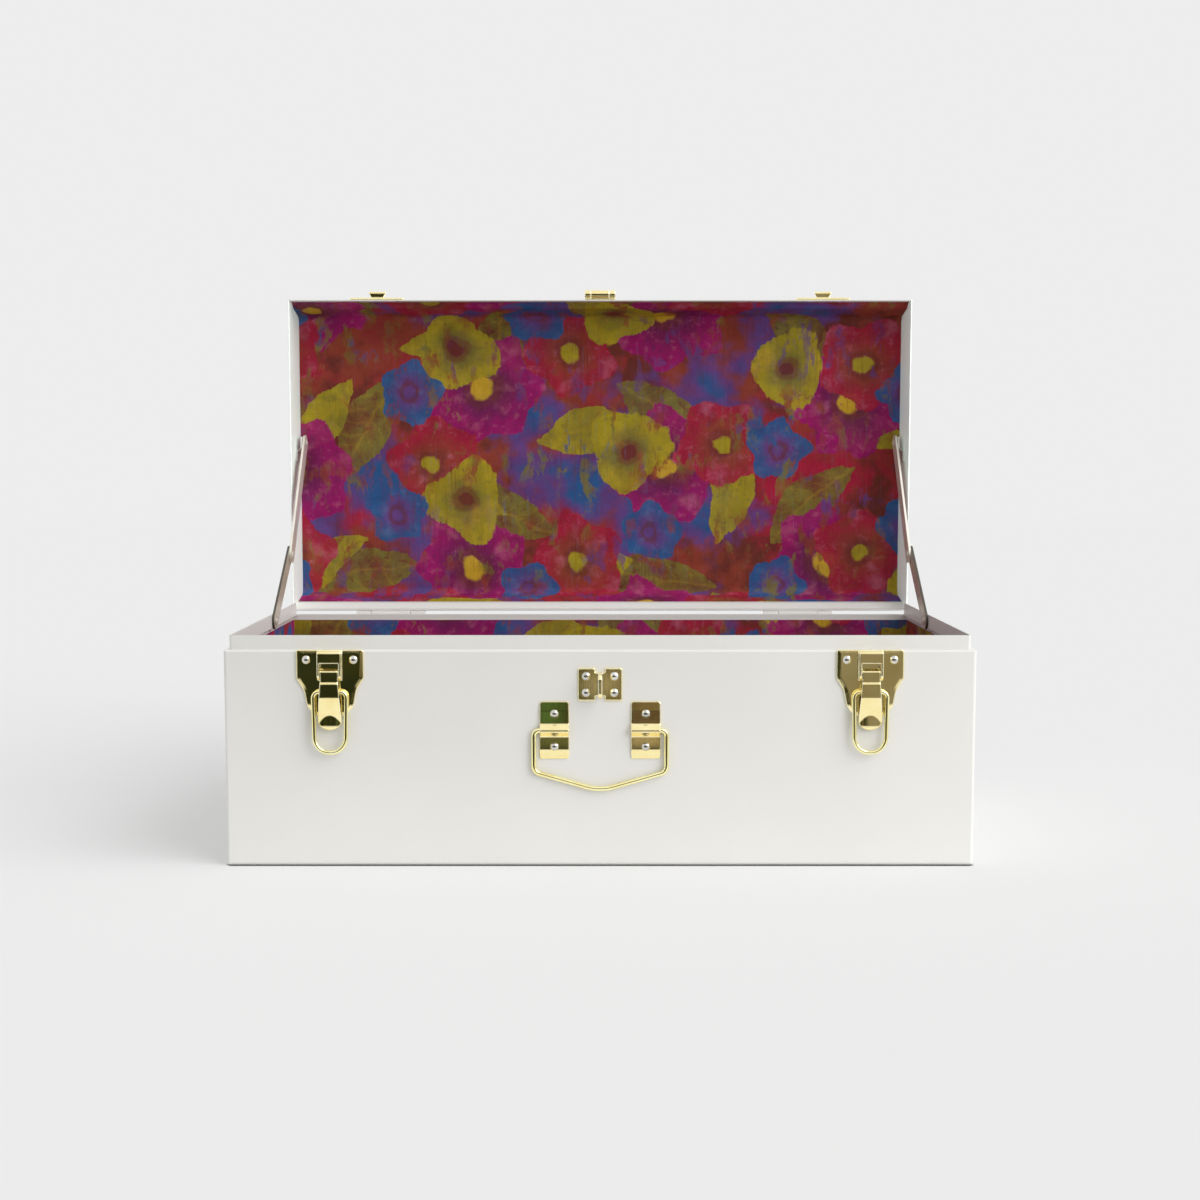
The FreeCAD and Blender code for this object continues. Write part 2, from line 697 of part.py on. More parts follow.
def make_hasp_leaf():
    # Leaf riveted to the lid's skirt, with the two outer knuckles of the hasp.
    top = catch_bottom + catch_height
    half = [(hasp_half_width, top, 2.0), (hasp_half_width, catch_bottom, 0.5)]
    plate = prism(mirrored_outline(half), in_xz(front_y), FreeCAD.Vector(0, -hasp_leaf_thickness, 0))
    y = front_y - hasp_axis_reach
    inner = hasp_middle_half_width + hasp_knuckle_gap
    knuckle = rod_x(hasp_barrel_radius, inner, hasp_half_width, y, hasp_axis_z)
    web = block(inner, hasp_half_width, y, front_y - hasp_leaf_thickness / 2,
                hasp_axis_z - hasp_barrel_radius / 2, hasp_axis_z + hasp_barrel_radius / 2)
    ears = [knuckle, web, mirrored(knuckle), mirrored(web)]
    pin_hole = rod_x(hasp_pin_radius + pivot_clearance, -hasp_half_width, hasp_half_width, y, hasp_axis_z)
    leaf = fused([plate] + ears).cut(pin_hole)
    return swung_open(with_holes(leaf, front_holes(hasp_rivet_spots, 2 * hasp_barrel_radius)))


def make_hasp_pin():
    pin = rod_x(hasp_pin_radius, -hasp_half_width, hasp_half_width, front_y - hasp_axis_reach, hasp_axis_z)
    return swung_open(pin)


def make_hasp_flap():
    # Slotted flap, folded back over the lid: middle knuckle, broad shoulder and narrow tongue.
    y = front_y - hasp_axis_reach
    knuckle = rod_x(hasp_barrel_radius, -hasp_middle_half_width, hasp_middle_half_width, y, hasp_axis_z)
    tip = hasp_axis_z + hasp_flap_length
    shoulder = hasp_axis_z + 2 * hasp_barrel_radius
    half = [(hasp_flap_half_width, tip, hasp_flap_half_width - 0.1), (hasp_flap_half_width, shoulder, 4.0),
            (hasp_middle_half_width, shoulder, 3.0), (hasp_middle_half_width, hasp_axis_z, 0.0)]
    tongue = prism(mirrored_outline(half), in_xz(y), FreeCAD.Vector(0, -hasp_flap_thickness, 0))
    slot_middle = hasp_axis_z + (hasp_axis_z - staple_above_base)
    slot_half = [(hasp_slot_half_width, slot_middle + hasp_slot_length / 2, hasp_slot_half_width - 0.1),
                 (hasp_slot_half_width, slot_middle - hasp_slot_length / 2, hasp_slot_half_width - 0.1)]
    slot = prism(mirrored_outline(slot_half), in_xz(y + hasp_flap_thickness),
                 FreeCAD.Vector(0, -3 * hasp_flap_thickness, 0))
    pin_hole = rod_x(hasp_pin_radius + pivot_clearance, -hasp_half_width, hasp_half_width, y, hasp_axis_z)
    return swung_open(fused([knuckle, tongue]).cut(slot).cut(pin_hole))


def make_handle_plate(centre_x):
    # Strap over the handle's wire, with thinned ends and a ridge across it for the wire's channel.
    z = handle_axis_z
    end = handle_plate_half_height
    crest = handle_axis_reach + handle_wire_radius + handle_channel_wall
    upper = [(0.0, z + end, 0.0), (handle_plate_edge, z + end, 0.2),
             (handle_plate_thickness, z + end - handle_plate_bevel, 10.0),
             (handle_plate_thickness, z + handle_ridge_half_height, 1.0),
             (crest, z + handle_crest_half_height, 1.4)]
    lower = [(a, 2 * z - b, r) for a, b, r in reversed(upper)]
    width = FreeCAD.Vector(2 * handle_plate_half_width, 0, 0)
    strap = prism(upper + lower, face_side(centre_x - handle_plate_half_width), width)
    half = [(handle_plate_half_width, z + end, 2.0), (handle_plate_half_width, z - end, 2.0)]
    corners = prism(mirrored_outline(half, centre_x), in_xz(front_y), FreeCAD.Vector(0, -2 * crest, 0))
    strap = strap.common(corners)
    bore = handle_wire_radius + pivot_clearance
    left, right = centre_x - 2 * handle_plate_half_width, centre_x + 2 * handle_plate_half_width
    groove = rod_x(bore, left, right, front_y - handle_axis_reach, z)
    slot = block(left, right, front_y - handle_axis_reach, front_y + sheet, z - bore, z + bore)
    spots = [spot for spot in handle_rivet_spots if abs(spot[0] - centre_x) < handle_plate_half_width]
    return with_holes(strap.cut(groove).cut(slot), front_holes(spots, 2 * handle_plate_thickness))


def make_handle_bail():
    z = handle_axis_z
    left = [(-handle_end_x, z, 0.0), (-handle_half_width, z, handle_top_bend),
            (-handle_half_width, z - handle_side_length, handle_side_bend)]
    right = [(-a, b, r) for a, b, r in reversed(left)]
    corners = left + [(0.0, z - handle_drop, handle_middle_bend)] + right
    return wire_piece(corners, in_xz(front_y - handle_axis_reach), handle_wire_radius, False)


def hinge_leaf(centre_x, direction, knuckle_spans, notch_spans):
    # Leaf on the back of the shut trunk; direction is 1 above the axis and -1 below it.
    far = hinge_z + direction * hinge_leaf_height
    low, high = min(hinge_z, far), max(hinge_z, far)
    plate = block(centre_x - hinge_half_length, centre_x + hinge_half_length,
                  back_y, back_y + hinge_leaf_thickness, low, high)
    for start, finish in notch_spans:
        notch = block(centre_x + start, centre_x + finish, back_y - sheet, back_y + 2 * hinge_leaf_thickness,
                      hinge_z - hinge_notch, hinge_z + hinge_notch)
        plate = plate.cut(notch)
    knuckles = [rod_x(hinge_barrel_radius, centre_x + start, centre_x + finish, hinge_y, hinge_z)
                for start, finish in knuckle_spans]
    left = centre_x - hinge_half_length
    right = centre_x + hinge_half_length
    pin_hole = rod_x(hinge_pin_radius + pivot_clearance, left, right, hinge_y, hinge_z)
    hole_radius = hinge_rivet_shank_radius + shank_clearance
    rivet_z = hinge_z + direction * hinge_rivet_reach
    holes = [rod_y(hole_radius, back_y - sheet, back_y + 2 * hinge_leaf_thickness,
                   centre_x + side * hinge_rivet_x, rivet_z) for side in (-1, 1)]
    clear_lid_side = block(left, right, back_y - 2 * sheet, back_y,
                           hinge_z - hinge_notch, hinge_z + hinge_notch)
    leaf = fused([plate] + knuckles).cut(pin_hole).cut(clear_lid_side)
    return with_holes(leaf, holes)


def make_hinge_base_leaf(centre_x):
    end = hinge_half_length
    middle = hinge_middle_half_length + hinge_knuckle_gap
    return hinge_leaf(centre_x, -1, [(-end, -middle), (middle, end)], [(-middle, middle)])


def make_hinge_lid_leaf(centre_x):
    end = hinge_half_length + sheet
    middle = hinge_middle_half_length
    notches = [(-end, -middle), (middle, end)]
    return swung_open(hinge_leaf(centre_x, 1, [(-middle, middle)], notches))


def make_hinge_pin(centre_x):
    return rod_x(hinge_pin_radius, centre_x - hinge_half_length, centre_x + hinge_half_length, hinge_y, hinge_z)


def hinge_rivets(direction):
    pieces = []
    for x in hinge_rivet_x_places:
        piece = rivet(hinge_rivet_head_radius, hinge_rivet_head_height, hinge_rivet_shank_radius,
                      hinge_leaf_thickness + sheet)
        piece.rotate(FreeCAD.Vector(0, 0, 0), FreeCAD.Vector(1, 0, 0), -90)
        rivet_z = hinge_z + direction * hinge_rivet_reach
        piece.translate(FreeCAD.Vector(x, back_y + hinge_leaf_thickness, rivet_z))
        pieces.append(piece)
    return Part.makeCompound(pieces)


def link(start, finish, outer_x):
    # Flat bar with round ends and a hole at each pivot, on the right-hand side of the trunk.
    ay, az = start
    by, bz = finish
    uy, uz = unit(ay, az, by, bz)
    ny, nz = -uz * stay_half_width, uy * stay_half_width
    thick = FreeCAD.Vector(stay_sheet, 0, 0)
    inner_x = outer_x - stay_sheet
    corners = [(ay + ny, az + nz, 0.0), (by + ny, bz + nz, 0.0),
               (by - ny, bz - nz, 0.0), (ay - ny, az - nz, 0.0)]
    bar = prism(corners, in_yz(inner_x), thick)
    ends = [rod_x(stay_half_width, inner_x, outer_x, *pivot) for pivot in (start, finish)]
    holes = [rod_x(stay_pin_radius + pivot_clearance, inner_x - sheet, outer_x + sheet, *pivot)
             for pivot in (start, finish)]
    return with_holes(fused([bar] + ends), holes)


def stay_pin(pivot, seat_x, inner_x):
    # Stud from its seat through the link, with a low domed head on the inner side.
    piece = rivet(stay_head_radius, stay_head_height, stay_pin_radius, seat_x - inner_x)
    piece.rotate(FreeCAD.Vector(0, 0, 0), FreeCAD.Vector(0, 1, 0), -90)
    piece.translate(FreeCAD.Vector(inner_x, *pivot))
    return piece


def make_stay_bracket():
    # Cranked bracket that holds the stay clear of the lid's end, drawn on the shut lid.
    wall_x = half_width - sheet
    pad_x = upper_link_x + stay_gap
    y, z = shut_lid_pivot
    web_start = y + bracket_web_start
    web_end = web_start + bracket_web_run
    plan = [(wall_x, y + bracket_flange_end, 0.0), (wall_x, web_end + 0.6, 1.0),
            (pad_x + bracket_sheet, web_start + 0.6, 1.0), (pad_x + bracket_sheet, y - bracket_pad_end, 0.0),
            (pad_x, y - bracket_pad_end, 0.0), (pad_x, web_start, 1.0),
            (wall_x - bracket_sheet, web_end, 1.0), (wall_x - bracket_sheet, y + bracket_flange_end, 0.0)]
    strip = prism(plan, in_xy(z - bracket_half_depth), FreeCAD.Vector(0, 0, 2 * bracket_half_depth))
    hole = rod_x(stay_pin_radius + shank_clearance, pad_x - sheet, wall_x - bracket_sheet, y, z)
    return swung_open(strip.cut(hole))


def on_side(shape, side):
    return shape if side > 0 else mirrored(shape)


os.makedirs("parts", exist_ok=True)
sides = (("left", -1), ("right", 1))
nodes = {}

nodes["base_walls"] = make_base_walls()
nodes["base_floor"] = make_base_floor()
nodes["base_lining"] = make_base_lining()
nodes["lid_shell"] = make_lid_shell()
nodes["lid_lining"] = make_lid_lining()
nodes["staple"] = make_staple()
nodes["hasp_leaf"] = make_hasp_leaf()
nodes["hasp_pin"] = make_hasp_pin()
nodes["hasp_flap"] = make_hasp_flap()
nodes["handle_bail"] = make_handle_bail()

for name, side in sides:
    nodes["lid_end_" + name] = make_lid_end(side)
    nodes["latch_plate_" + name] = make_latch_plate(side * latch_x)
    nodes["lever_pin_" + name] = make_lever_pin(side * latch_x)
    nodes["lever_" + name] = make_lever(side * latch_x)
    nodes["loop_" + name] = make_loop(side * latch_x)
    nodes["catch_" + name] = make_catch(side * latch_x)
    nodes["handle_plate_" + name] = make_handle_plate(side * handle_plate_x)
    nodes["stay_bracket_" + name] = on_side(make_stay_bracket(), side)
    nodes["stay_lower_" + name] = on_side(link(base_pivot, elbow, lower_link_x), side)
    nodes["stay_upper_" + name] = on_side(link(elbow, lid_pivot, upper_link_x), side)
    lower_inner_x = lower_link_x - stay_sheet
    upper_inner_x = upper_link_x - stay_sheet
    nodes["stay_base_stud_" + name] = on_side(
        stay_pin(base_pivot, half_width - lip_inset, lower_inner_x - stay_gap), side)
    nodes["stay_lid_stud_" + name] = on_side(
        stay_pin(lid_pivot, upper_link_x + stay_gap + bracket_sheet, upper_inner_x - stay_gap), side)
    nodes["elbow_rivet_" + name] = on_side(stay_pin(elbow, upper_link_x, upper_inner_x), side)

for (name, side), centre_x in zip(sides, hinge_centres):
    nodes["hinge_base_leaf_" + name] = make_hinge_base_leaf(centre_x)
    nodes["hinge_lid_leaf_" + name] = make_hinge_lid_leaf(centre_x)
    nodes["hinge_pin_" + name] = make_hinge_pin(centre_x)

nodes["body_rivets"] = Part.makeCompound(
    [front_rivet(x, z, latch_thickness) for x, z in latch_rivet_spots]
    + [front_rivet(x, z, handle_plate_thickness) for x, z in handle_rivet_spots]
    + [front_rivet(x, z, staple_thickness) for x, z in staple_rivet_spots])
nodes["lid_rivets"] = swung_open(Part.makeCompound(
    [front_rivet(x, z, catch_thickness, lid_rivet_head_height) for x, z in catch_rivet_spots]
    + [front_rivet(x, z, hasp_leaf_thickness, lid_rivet_head_height) for x, z in hasp_rivet_spots]))
nodes["hinge_base_rivets"] = hinge_rivets(-1)
nodes["hinge_lid_rivets"] = swung_open(hinge_rivets(1))

for name, shape in nodes.items():
    shape.exportStep("parts/" + name + ".step")
    print(name, "solids", len(shape.Solids), "valid", shape.isValid(), "volume", round(shape.Volume, 1))
print("nodes", len(nodes))
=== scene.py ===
import math

import bpy
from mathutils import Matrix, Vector


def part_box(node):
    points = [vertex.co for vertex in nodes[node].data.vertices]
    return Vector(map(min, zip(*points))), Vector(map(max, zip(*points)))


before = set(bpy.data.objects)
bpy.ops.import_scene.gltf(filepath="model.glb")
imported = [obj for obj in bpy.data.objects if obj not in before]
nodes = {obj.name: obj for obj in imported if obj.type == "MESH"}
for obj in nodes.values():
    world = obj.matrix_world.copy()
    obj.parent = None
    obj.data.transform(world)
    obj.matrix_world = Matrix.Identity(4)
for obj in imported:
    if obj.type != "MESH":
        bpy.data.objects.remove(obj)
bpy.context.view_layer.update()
print("frame loaded:", len(nodes), "nodes")

mm = 0.001
white = (1.0, 1.0, 1.0, 1.0)


# small helpers for shader trees

def addNode(tree, kind, **values):
    node = tree.nodes.new(kind)
    for key, value in values.items():
        setattr(node, key, value)
    return node


def feed(tree, socket, value):
    # a socket is linked, a number or a colour is set
    if isinstance(value, bpy.types.NodeSocket):
        tree.links.new(value, socket)
    else:
        socket.default_value = value


def calc(tree, operation, first, second=None, third=None):
    node = addNode(tree, "ShaderNodeMath", operation=operation)
    for socket, value in zip(node.inputs, (first, second, third)):
        if value is not None:
            feed(tree, socket, value)
    return node.outputs[0]


def mixColour(tree, amount, first, second, blend="MIX"):
    node = addNode(tree, "ShaderNodeMix", data_type="RGBA", blend_type=blend)
    feed(tree, node.inputs[0], amount)
    feed(tree, node.inputs[6], first)
    feed(tree, node.inputs[7], second)
    return node.outputs[2]


def spread(tree, value, low, high, newLow=0.0, newHigh=1.0, smooth=False):
    node = addNode(tree, "ShaderNodeMapRange", interpolation_type="SMOOTHSTEP" if smooth else "LINEAR")
    for socket, number in zip(node.inputs, (value, low, high, newLow, newHigh)):
        feed(tree, socket, number)
    return node.outputs[0]


def noiseValue(tree, vector, scale, detail=2.0, roughness=0.5):
    node = addNode(tree, "ShaderNodeTexNoise")
    feed(tree, node.inputs["Vector"], vector)
    feed(tree, node.inputs["Scale"], scale)
    node.inputs["Detail"].default_value = detail
    node.inputs["Roughness"].default_value = roughness
    return node.outputs[0]


def vectorFrom(tree, x, y, z):
    node = addNode(tree, "ShaderNodeCombineXYZ")
    for socket, value in zip(node.inputs, (x, y, z)):
        feed(tree, socket, value)
    return node.outputs[0]


def scaledVector(tree, vector, factors):
    node = addNode(tree, "ShaderNodeVectorMath", operation="MULTIPLY")
    feed(tree, node.inputs[0], vector)
    feed(tree, node.inputs[1], factors)
    return node.outputs[0]


def colour(red, green, blue):
    # from the usual 0 to 255 screen values to linear light
    def linear(level):
        share = level / 255.0
        return share / 12.92 if share <= 0.04045 else ((share + 0.055) / 1.055) ** 2.4
    return (linear(red), linear(green), linear(blue), 1.0)


def newGroup(name, inputs, outputs):
    tree = bpy.data.node_groups.new(name, "ShaderNodeTree")
    for label, kind, start in inputs:
        socket = tree.interface.new_socket(label, in_out="INPUT", socket_type=kind)
        if start is not None:
            socket.default_value = start
    for label, kind in outputs:
        tree.interface.new_socket(label, in_out="OUTPUT", socket_type=kind)
    return tree, addNode(tree, "NodeGroupInput"), addNode(tree, "NodeGroupOutput")


def placeGroup(tree, group, **values):
    node = addNode(tree, "ShaderNodeGroup", node_tree=group)
    for label, value in values.items():
        feed(tree, node.inputs[label], value)
    return node


# shared effects

bevelSamples = 6
rippleDepth = 0.2 * mm
edgeStart, edgeFull = 0.995, 0.86  # how far the rounded normal agrees with the flat one


def makeSoftEdge():
    # rounds the light over sharp sheet edges, with a fine ripple on top
    tree, given, result = newGroup(
        "softEdge",
        [("Radius", "NodeSocketFloat", 0.0004), ("Height", "NodeSocketFloat", 0.5),
         ("Strength", "NodeSocketFloat", 0.05)],
        [("Normal", "NodeSocketVector")])
    bevel = addNode(tree, "ShaderNodeBevel", samples=bevelSamples)
    feed(tree, bevel.inputs["Radius"], given.outputs["Radius"])
    bump = addNode(tree, "ShaderNodeBump")
    bump.inputs["Distance"].default_value = rippleDepth
    feed(tree, bump.inputs["Strength"], given.outputs["Strength"])
    feed(tree, bump.inputs["Height"], given.outputs["Height"])
    feed(tree, bump.inputs["Normal"], bevel.outputs["Normal"])
    feed(tree, result.inputs["Normal"], bump.outputs["Normal"])
    return tree


def makeEdgeMask():
    # one along sharp edges, zero on the flats
    tree, given, result = newGroup(
        "edgeMask", [("Width", "NodeSocketFloat", 0.0008)], [("Mask", "NodeSocketFloat")])
    bevel = addNode(tree, "ShaderNodeBevel", samples=bevelSamples)
    feed(tree, bevel.inputs["Radius"], given.outputs["Width"])
    plain = addNode(tree, "ShaderNodeNewGeometry")
    dot = addNode(tree, "ShaderNodeVectorMath", operation="DOT_PRODUCT")
    feed(tree, dot.inputs[0], bevel.outputs["Normal"])
    feed(tree, dot.inputs[1], plain.outputs["Normal"])
    mask = spread(tree, dot.outputs["Value"], edgeStart, edgeFull, smooth=True)
    feed(tree, result.inputs["Mask"], mask)
    return tree


def makeSurfaceGrain():
    # broad cloudiness, a fine ripple and drawn lines for metal and paint
    tree, given, result = newGroup(
        "surfaceGrain",
        [("Broad", "NodeSocketFloat", 9.0), ("Fine", "NodeSocketFloat", 900.0),
         ("Stretch", "NodeSocketVector", None)],
        [("Cloud", "NodeSocketFloat"), ("Ripple", "NodeSocketFloat"), ("Lines", "NodeSocketFloat")])
    place = addNode(tree, "ShaderNodeTexCoord").outputs["Object"]
    cloud = noiseValue(tree, place, given.outputs["Broad"], detail=3.0)
    ripple = noiseValue(tree, place, given.outputs["Fine"], detail=2.0)
    drawn = scaledVector(tree, place, given.outputs["Stretch"])
    lines = noiseValue(tree, drawn, given.outputs["Fine"], detail=3.0)
    feed(tree, result.inputs["Cloud"], cloud)
    feed(tree, result.inputs["Ripple"], ripple)
    feed(tree, result.inputs["Lines"], lines)
    return tree


softEdge = makeSoftEdge()
edgeMask = makeEdgeMask()
surfaceGrain = makeSurfaceGrain()
print("shared effects ready")


def newMaterial(name):
    material = bpy.data.materials.new(name)
    material.use_nodes = True
    tree = material.node_tree
    shader = tree.nodes["Principled BSDF"]
    return material, tree, shader


def dress(material, names):
    for name in names:
        slots = nodes[name].data.materials
        slots.clear()
        slots.append(material)


def nodesNamed(*starts):
    return [name for name in nodes if name.startswith(starts)]


# enamelled steel

# the edge tone is a darker colour painted along sharp edges as shade
enamelLook = {"clean": colour(234, 233, 229), "shaded": colour(230, 229, 225), "cloudRange": (0.3, 0.7),
              "edge": colour(216, 215, 211), "edgeAmount": 0.6, "edgeRadius": 0.7 * mm,
              "broad": 7.0, "fine": 420.0, "stretch": (1.0, 1.0, 1.0),
              "rippleRange": (0.25, 0.75), "roughness": (0.34, 0.46), "ripple": 0.05, "index": 1.46}


def makeEnamel(look):
    material, tree, shader = newMaterial("whiteEnamel")
    grain = placeGroup(tree, surfaceGrain, Broad=look["broad"], Fine=look["fine"], Stretch=look["stretch"])
    edges = placeGroup(tree, edgeMask, Width=look["edgeRadius"])
    cloudy = spread(tree, grain.outputs["Cloud"], *look["cloudRange"])
    tone = mixColour(tree, cloudy, look["clean"], look["shaded"])
    # painted shade: a darker tone along sharp edges dims their highlights
    worn = calc(tree, "MULTIPLY", edges.outputs["Mask"], look["edgeAmount"])
    feed(tree, shader.inputs["Base Color"], mixColour(tree, worn, tone, look["edge"]))
    rough = spread(tree, grain.outputs["Ripple"], *look["rippleRange"], *look["roughness"])
    feed(tree, shader.inputs["Roughness"], rough)
    shaped = placeGroup(tree, softEdge, Radius=look["edgeRadius"], Height=grain.outputs["Ripple"],
                        Strength=look["ripple"])
    feed(tree, shader.inputs["Normal"], shaped.outputs["Normal"])
    shader.inputs["IOR"].default_value = look["index"]
    return material


enamelNodes = nodesNamed("base_walls", "base_floor", "lid_shell", "lid_end", "hinge_", "stay_bracket")
dress(makeEnamel(enamelLook), enamelNodes)
print("enamel on", len(enamelNodes), "nodes")


# polished brass

# the pale tone is a painted highlight along sharp edges
brassLook = {"body": colour(254, 241, 187), "pale": colour(255, 249, 214), "deep": colour(247, 228, 160),
             "roughness": (0.05, 0.10), "ripple": 0.04, "edgeRadius": 1.6 * mm,
             "broad": 45.0, "fine": 1500.0, "stretch": (1.0, 1.0, 0.08)}
wireLook = {"body": colour(255, 249, 194), "pale": colour(255, 252, 216), "deep": colour(250, 236, 168),
            "roughness": (0.04, 0.08), "ripple": 0.02, "edgeRadius": 0.2 * mm,
            "broad": 45.0, "fine": 1500.0, "stretch": (1.0, 1.0, 1.0)}
metalCloud, metalLines = (0.35, 0.7), (0.3, 0.7)  # part of the grain that tells in the tone and in the gloss


def makeBrass(name, look):
    material, tree, shader = newMaterial(name)
    grain = placeGroup(tree, surfaceGrain, Broad=look["broad"], Fine=look["fine"], Stretch=look["stretch"])
    edges = placeGroup(tree, edgeMask, Width=look["edgeRadius"])
    tone = mixColour(tree, spread(tree, grain.outputs["Cloud"], *metalCloud), look["body"], look["deep"])
    # painted highlight: a paler tone along sharp edges
    tone = mixColour(tree, edges.outputs["Mask"], tone, look["pale"])
    feed(tree, shader.inputs["Base Color"], tone)
    shader.inputs["Metallic"].default_value = 1.0
    rough = spread(tree, grain.outputs["Lines"], *metalLines, *look["roughness"])
    feed(tree, shader.inputs["Roughness"], rough)
    shaped = placeGroup(tree, softEdge, Radius=look["edgeRadius"], Height=grain.outputs["Lines"],
                        Strength=look["ripple"])
    feed(tree, shader.inputs["Normal"], shaped.outputs["Normal"])
    return material


brassNodes = nodesNamed("latch_", "lever_", "catch_", "staple", "hasp_", "handle_plate")
wireNodes = nodesNamed("loop_", "handle_bail")
dress(makeBrass("polishedBrass", brassLook), brassNodes)
dress(makeBrass("brassWire", wireLook), wireNodes)
print("brass on", len(brassNodes) + len(wireNodes), "nodes")


# bright rivets and nickel bars

rivetLook = {"body": colour(222, 220, 216), "deep": colour(186, 184, 178), "metal": 1.0,
             "roughness": (0.07, 0.16), "ripple": 0.03, "edgeRadius": 0.3 * mm,
             "broad": 60.0, "fine": 1300.0, "stretch": (1.0, 1.0, 1.0)}
nickelLook = {"body": colour(240, 236, 224), "deep": colour(230, 225, 210), "metal": 0.45,
              "roughness": (0.34, 0.46), "ripple": 0.06, "edgeRadius": 0.3 * mm,
              "broad": 60.0, "fine": 1100.0, "stretch": (1.0, 0.05, 0.05)}
# painted shade: the lower bars get a darker copy of the nickel
cutLook = dict(nickelLook, body=colour(222, 215, 198), deep=colour(206, 198, 180),
               cut=colour(84, 80, 70), cutFacing=0.5)


def makeBrightSteel(name, look):
    material, tree, shader = newMaterial(name)
    grain = placeGroup(tree, surfaceGrain, Broad=look["broad"], Fine=look["fine"], Stretch=look["stretch"])
    tone = mixColour(tree, spread(tree, grain.outputs["Cloud"], *metalCloud), look["body"], look["deep"])
    if "cut" in look:
        # painted shade: the narrow faces of the bar, which don't face sideways, are darker than its flat faces
        face = addNode(tree, "ShaderNodeSeparateXYZ")
        feed(tree, face.inputs[0], addNode(tree, "ShaderNodeNewGeometry").outputs["True Normal"])
        sideShaded = calc(tree, "LESS_THAN", calc(tree, "ABSOLUTE", face.outputs[0]), look["cutFacing"])
        tone = mixColour(tree, sideShaded, tone, look["cut"])
    feed(tree, shader.inputs["Base Color"], tone)
    shader.inputs["Metallic"].default_value = look["metal"]
    rough = spread(tree, grain.outputs["Lines"], *metalLines, *look["roughness"])
    feed(tree, shader.inputs["Roughness"], rough)
    shaped = placeGroup(tree, softEdge, Radius=look["edgeRadius"], Height=grain.outputs["Lines"],
                        Strength=look["ripple"])
    feed(tree, shader.inputs["Normal"], shaped.outputs["Normal"])
    return material


dress(makeBrightSteel("rivetSteel", rivetLook), ["body_rivets", "lid_rivets"])
barNodes = nodesNamed("stay_upper", "stay_base_stud", "stay_lid_stud", "elbow_rivet")
cutNodes = nodesNamed("stay_lower")
dress(makeBrightSteel("stayNickel", nickelLook), barNodes)
dress(makeBrightSteel("cutNickel", cutLook), cutNodes)
print("steel on", len(barNodes) + len(cutNodes) + 2, "nodes")


# printed lining: loose flowers and leaves over a washed ground

printLook = {"brick": colour(150, 66, 50), "umber": colour(112, 52, 44), "crimson": colour(172, 34, 62),
             "magenta": colour(164, 24, 106), "plum": colour(118, 34, 88), "violet": colour(106, 70, 136),
             "blue": colour(46, 92, 148), "sky": colour(92, 126, 170), "pink": colour(208, 120, 144),
             "olive": colour(174, 156, 38), "moss": colour(130, 120, 52), "gold": colour(208, 168, 46),
             "roughness": (0.62, 0.80), "roughRange": (0.3, 0.7), "shine": 0.10,
             "relief": 0.12, "reliefDepth": 0.3 * mm, "weaveRelief": 0.3}
brushLook = {"dragScale": 340.0, "dragStretch": 0.06, "bleedScale": 34.0, "threads": 5200.0,
             "strokeAcross": 56.0, "strokeAlong": 24.0, "strokeLayer": 31.0,
             "broadPull": 0.036, "finePull": 0.009, "bristle": 0.18, "rim": (1.02, 0.98),
             "leafCover": 0.94, "bloomCover": 0.95}

# layer and scale of each cloud of paint
clouds = {"warm": (5.0, 8.0), "umber": (14.0, 12.0), "pools": (8.0, 8.5), "fleck": (51.0, 105.0),
          "drift": (37.0, 8.0), "cover": (33.0, 13.0), "thin": (17.0, 15.0), "chalk": (19.0, 18.0),
          "wash": (41.0, 32.0), "broadAcross": (2.0, 11.0), "broadAlong": (6.0, 11.0),
          "fineAcross": (4.0, 70.0), "fineAlong": (9.0, 70.0)}

# each flower of the repeat: its colours from rim to eye, its size and its half-drop cell
blooms = [{"rim": "magenta", "heart": "plum", "light": "pink", "eye": "gold",
           "size": 0.054, "petals": 7.0, "notch": 0.10, "cell": (0.176, 0.168),
           "shift": (0.030, 0.110), "wander": 0.030, "share": 0.95, "seed": 7.0},
          {"rim": "crimson", "heart": "brick", "light": "pink", "eye": "olive",
           "size": 0.042, "petals": 5.0, "notch": 0.12, "cell": (0.142, 0.190),
           "shift": (0.101, 0.052), "wander": 0.026, "share": 0.80, "seed": 9.0},
          {"rim": "olive", "heart": "moss", "light": "gold", "eye": "umber",
           "size": 0.038, "petals": 3.0, "notch": 0.13, "cell": (0.158, 0.146),
           "shift": (0.064, 0.020), "wander": 0.034, "share": 0.70, "seed": 12.0},
          {"rim": "blue", "heart": "violet", "light": "sky", "eye": "violet",
           "size": 0.029, "petals": 5.0, "notch": 0.11, "cell": (0.124, 0.138),
           "shift": (0.017, 0.079), "wander": 0.030, "share": 0.55, "seed": 15.0}]
leaves = [{"tone": "moss", "shade": "umber", "length": 0.060, "width": 0.024, "cell": (0.150, 0.162),
           "shift": (0.020, 0.045), "wander": 0.024, "share": 0.75, "seed": 3.0},
          {"tone": "olive", "shade": "moss", "length": 0.054, "width": 0.020, "cell": (0.134, 0.150),
           "shift": (0.083, 0.012), "wander": 0.022, "share": 0.60, "seed": 4.0}]
ribPitch, ribLean = 26.0, -7.0  # side veins of a leaf


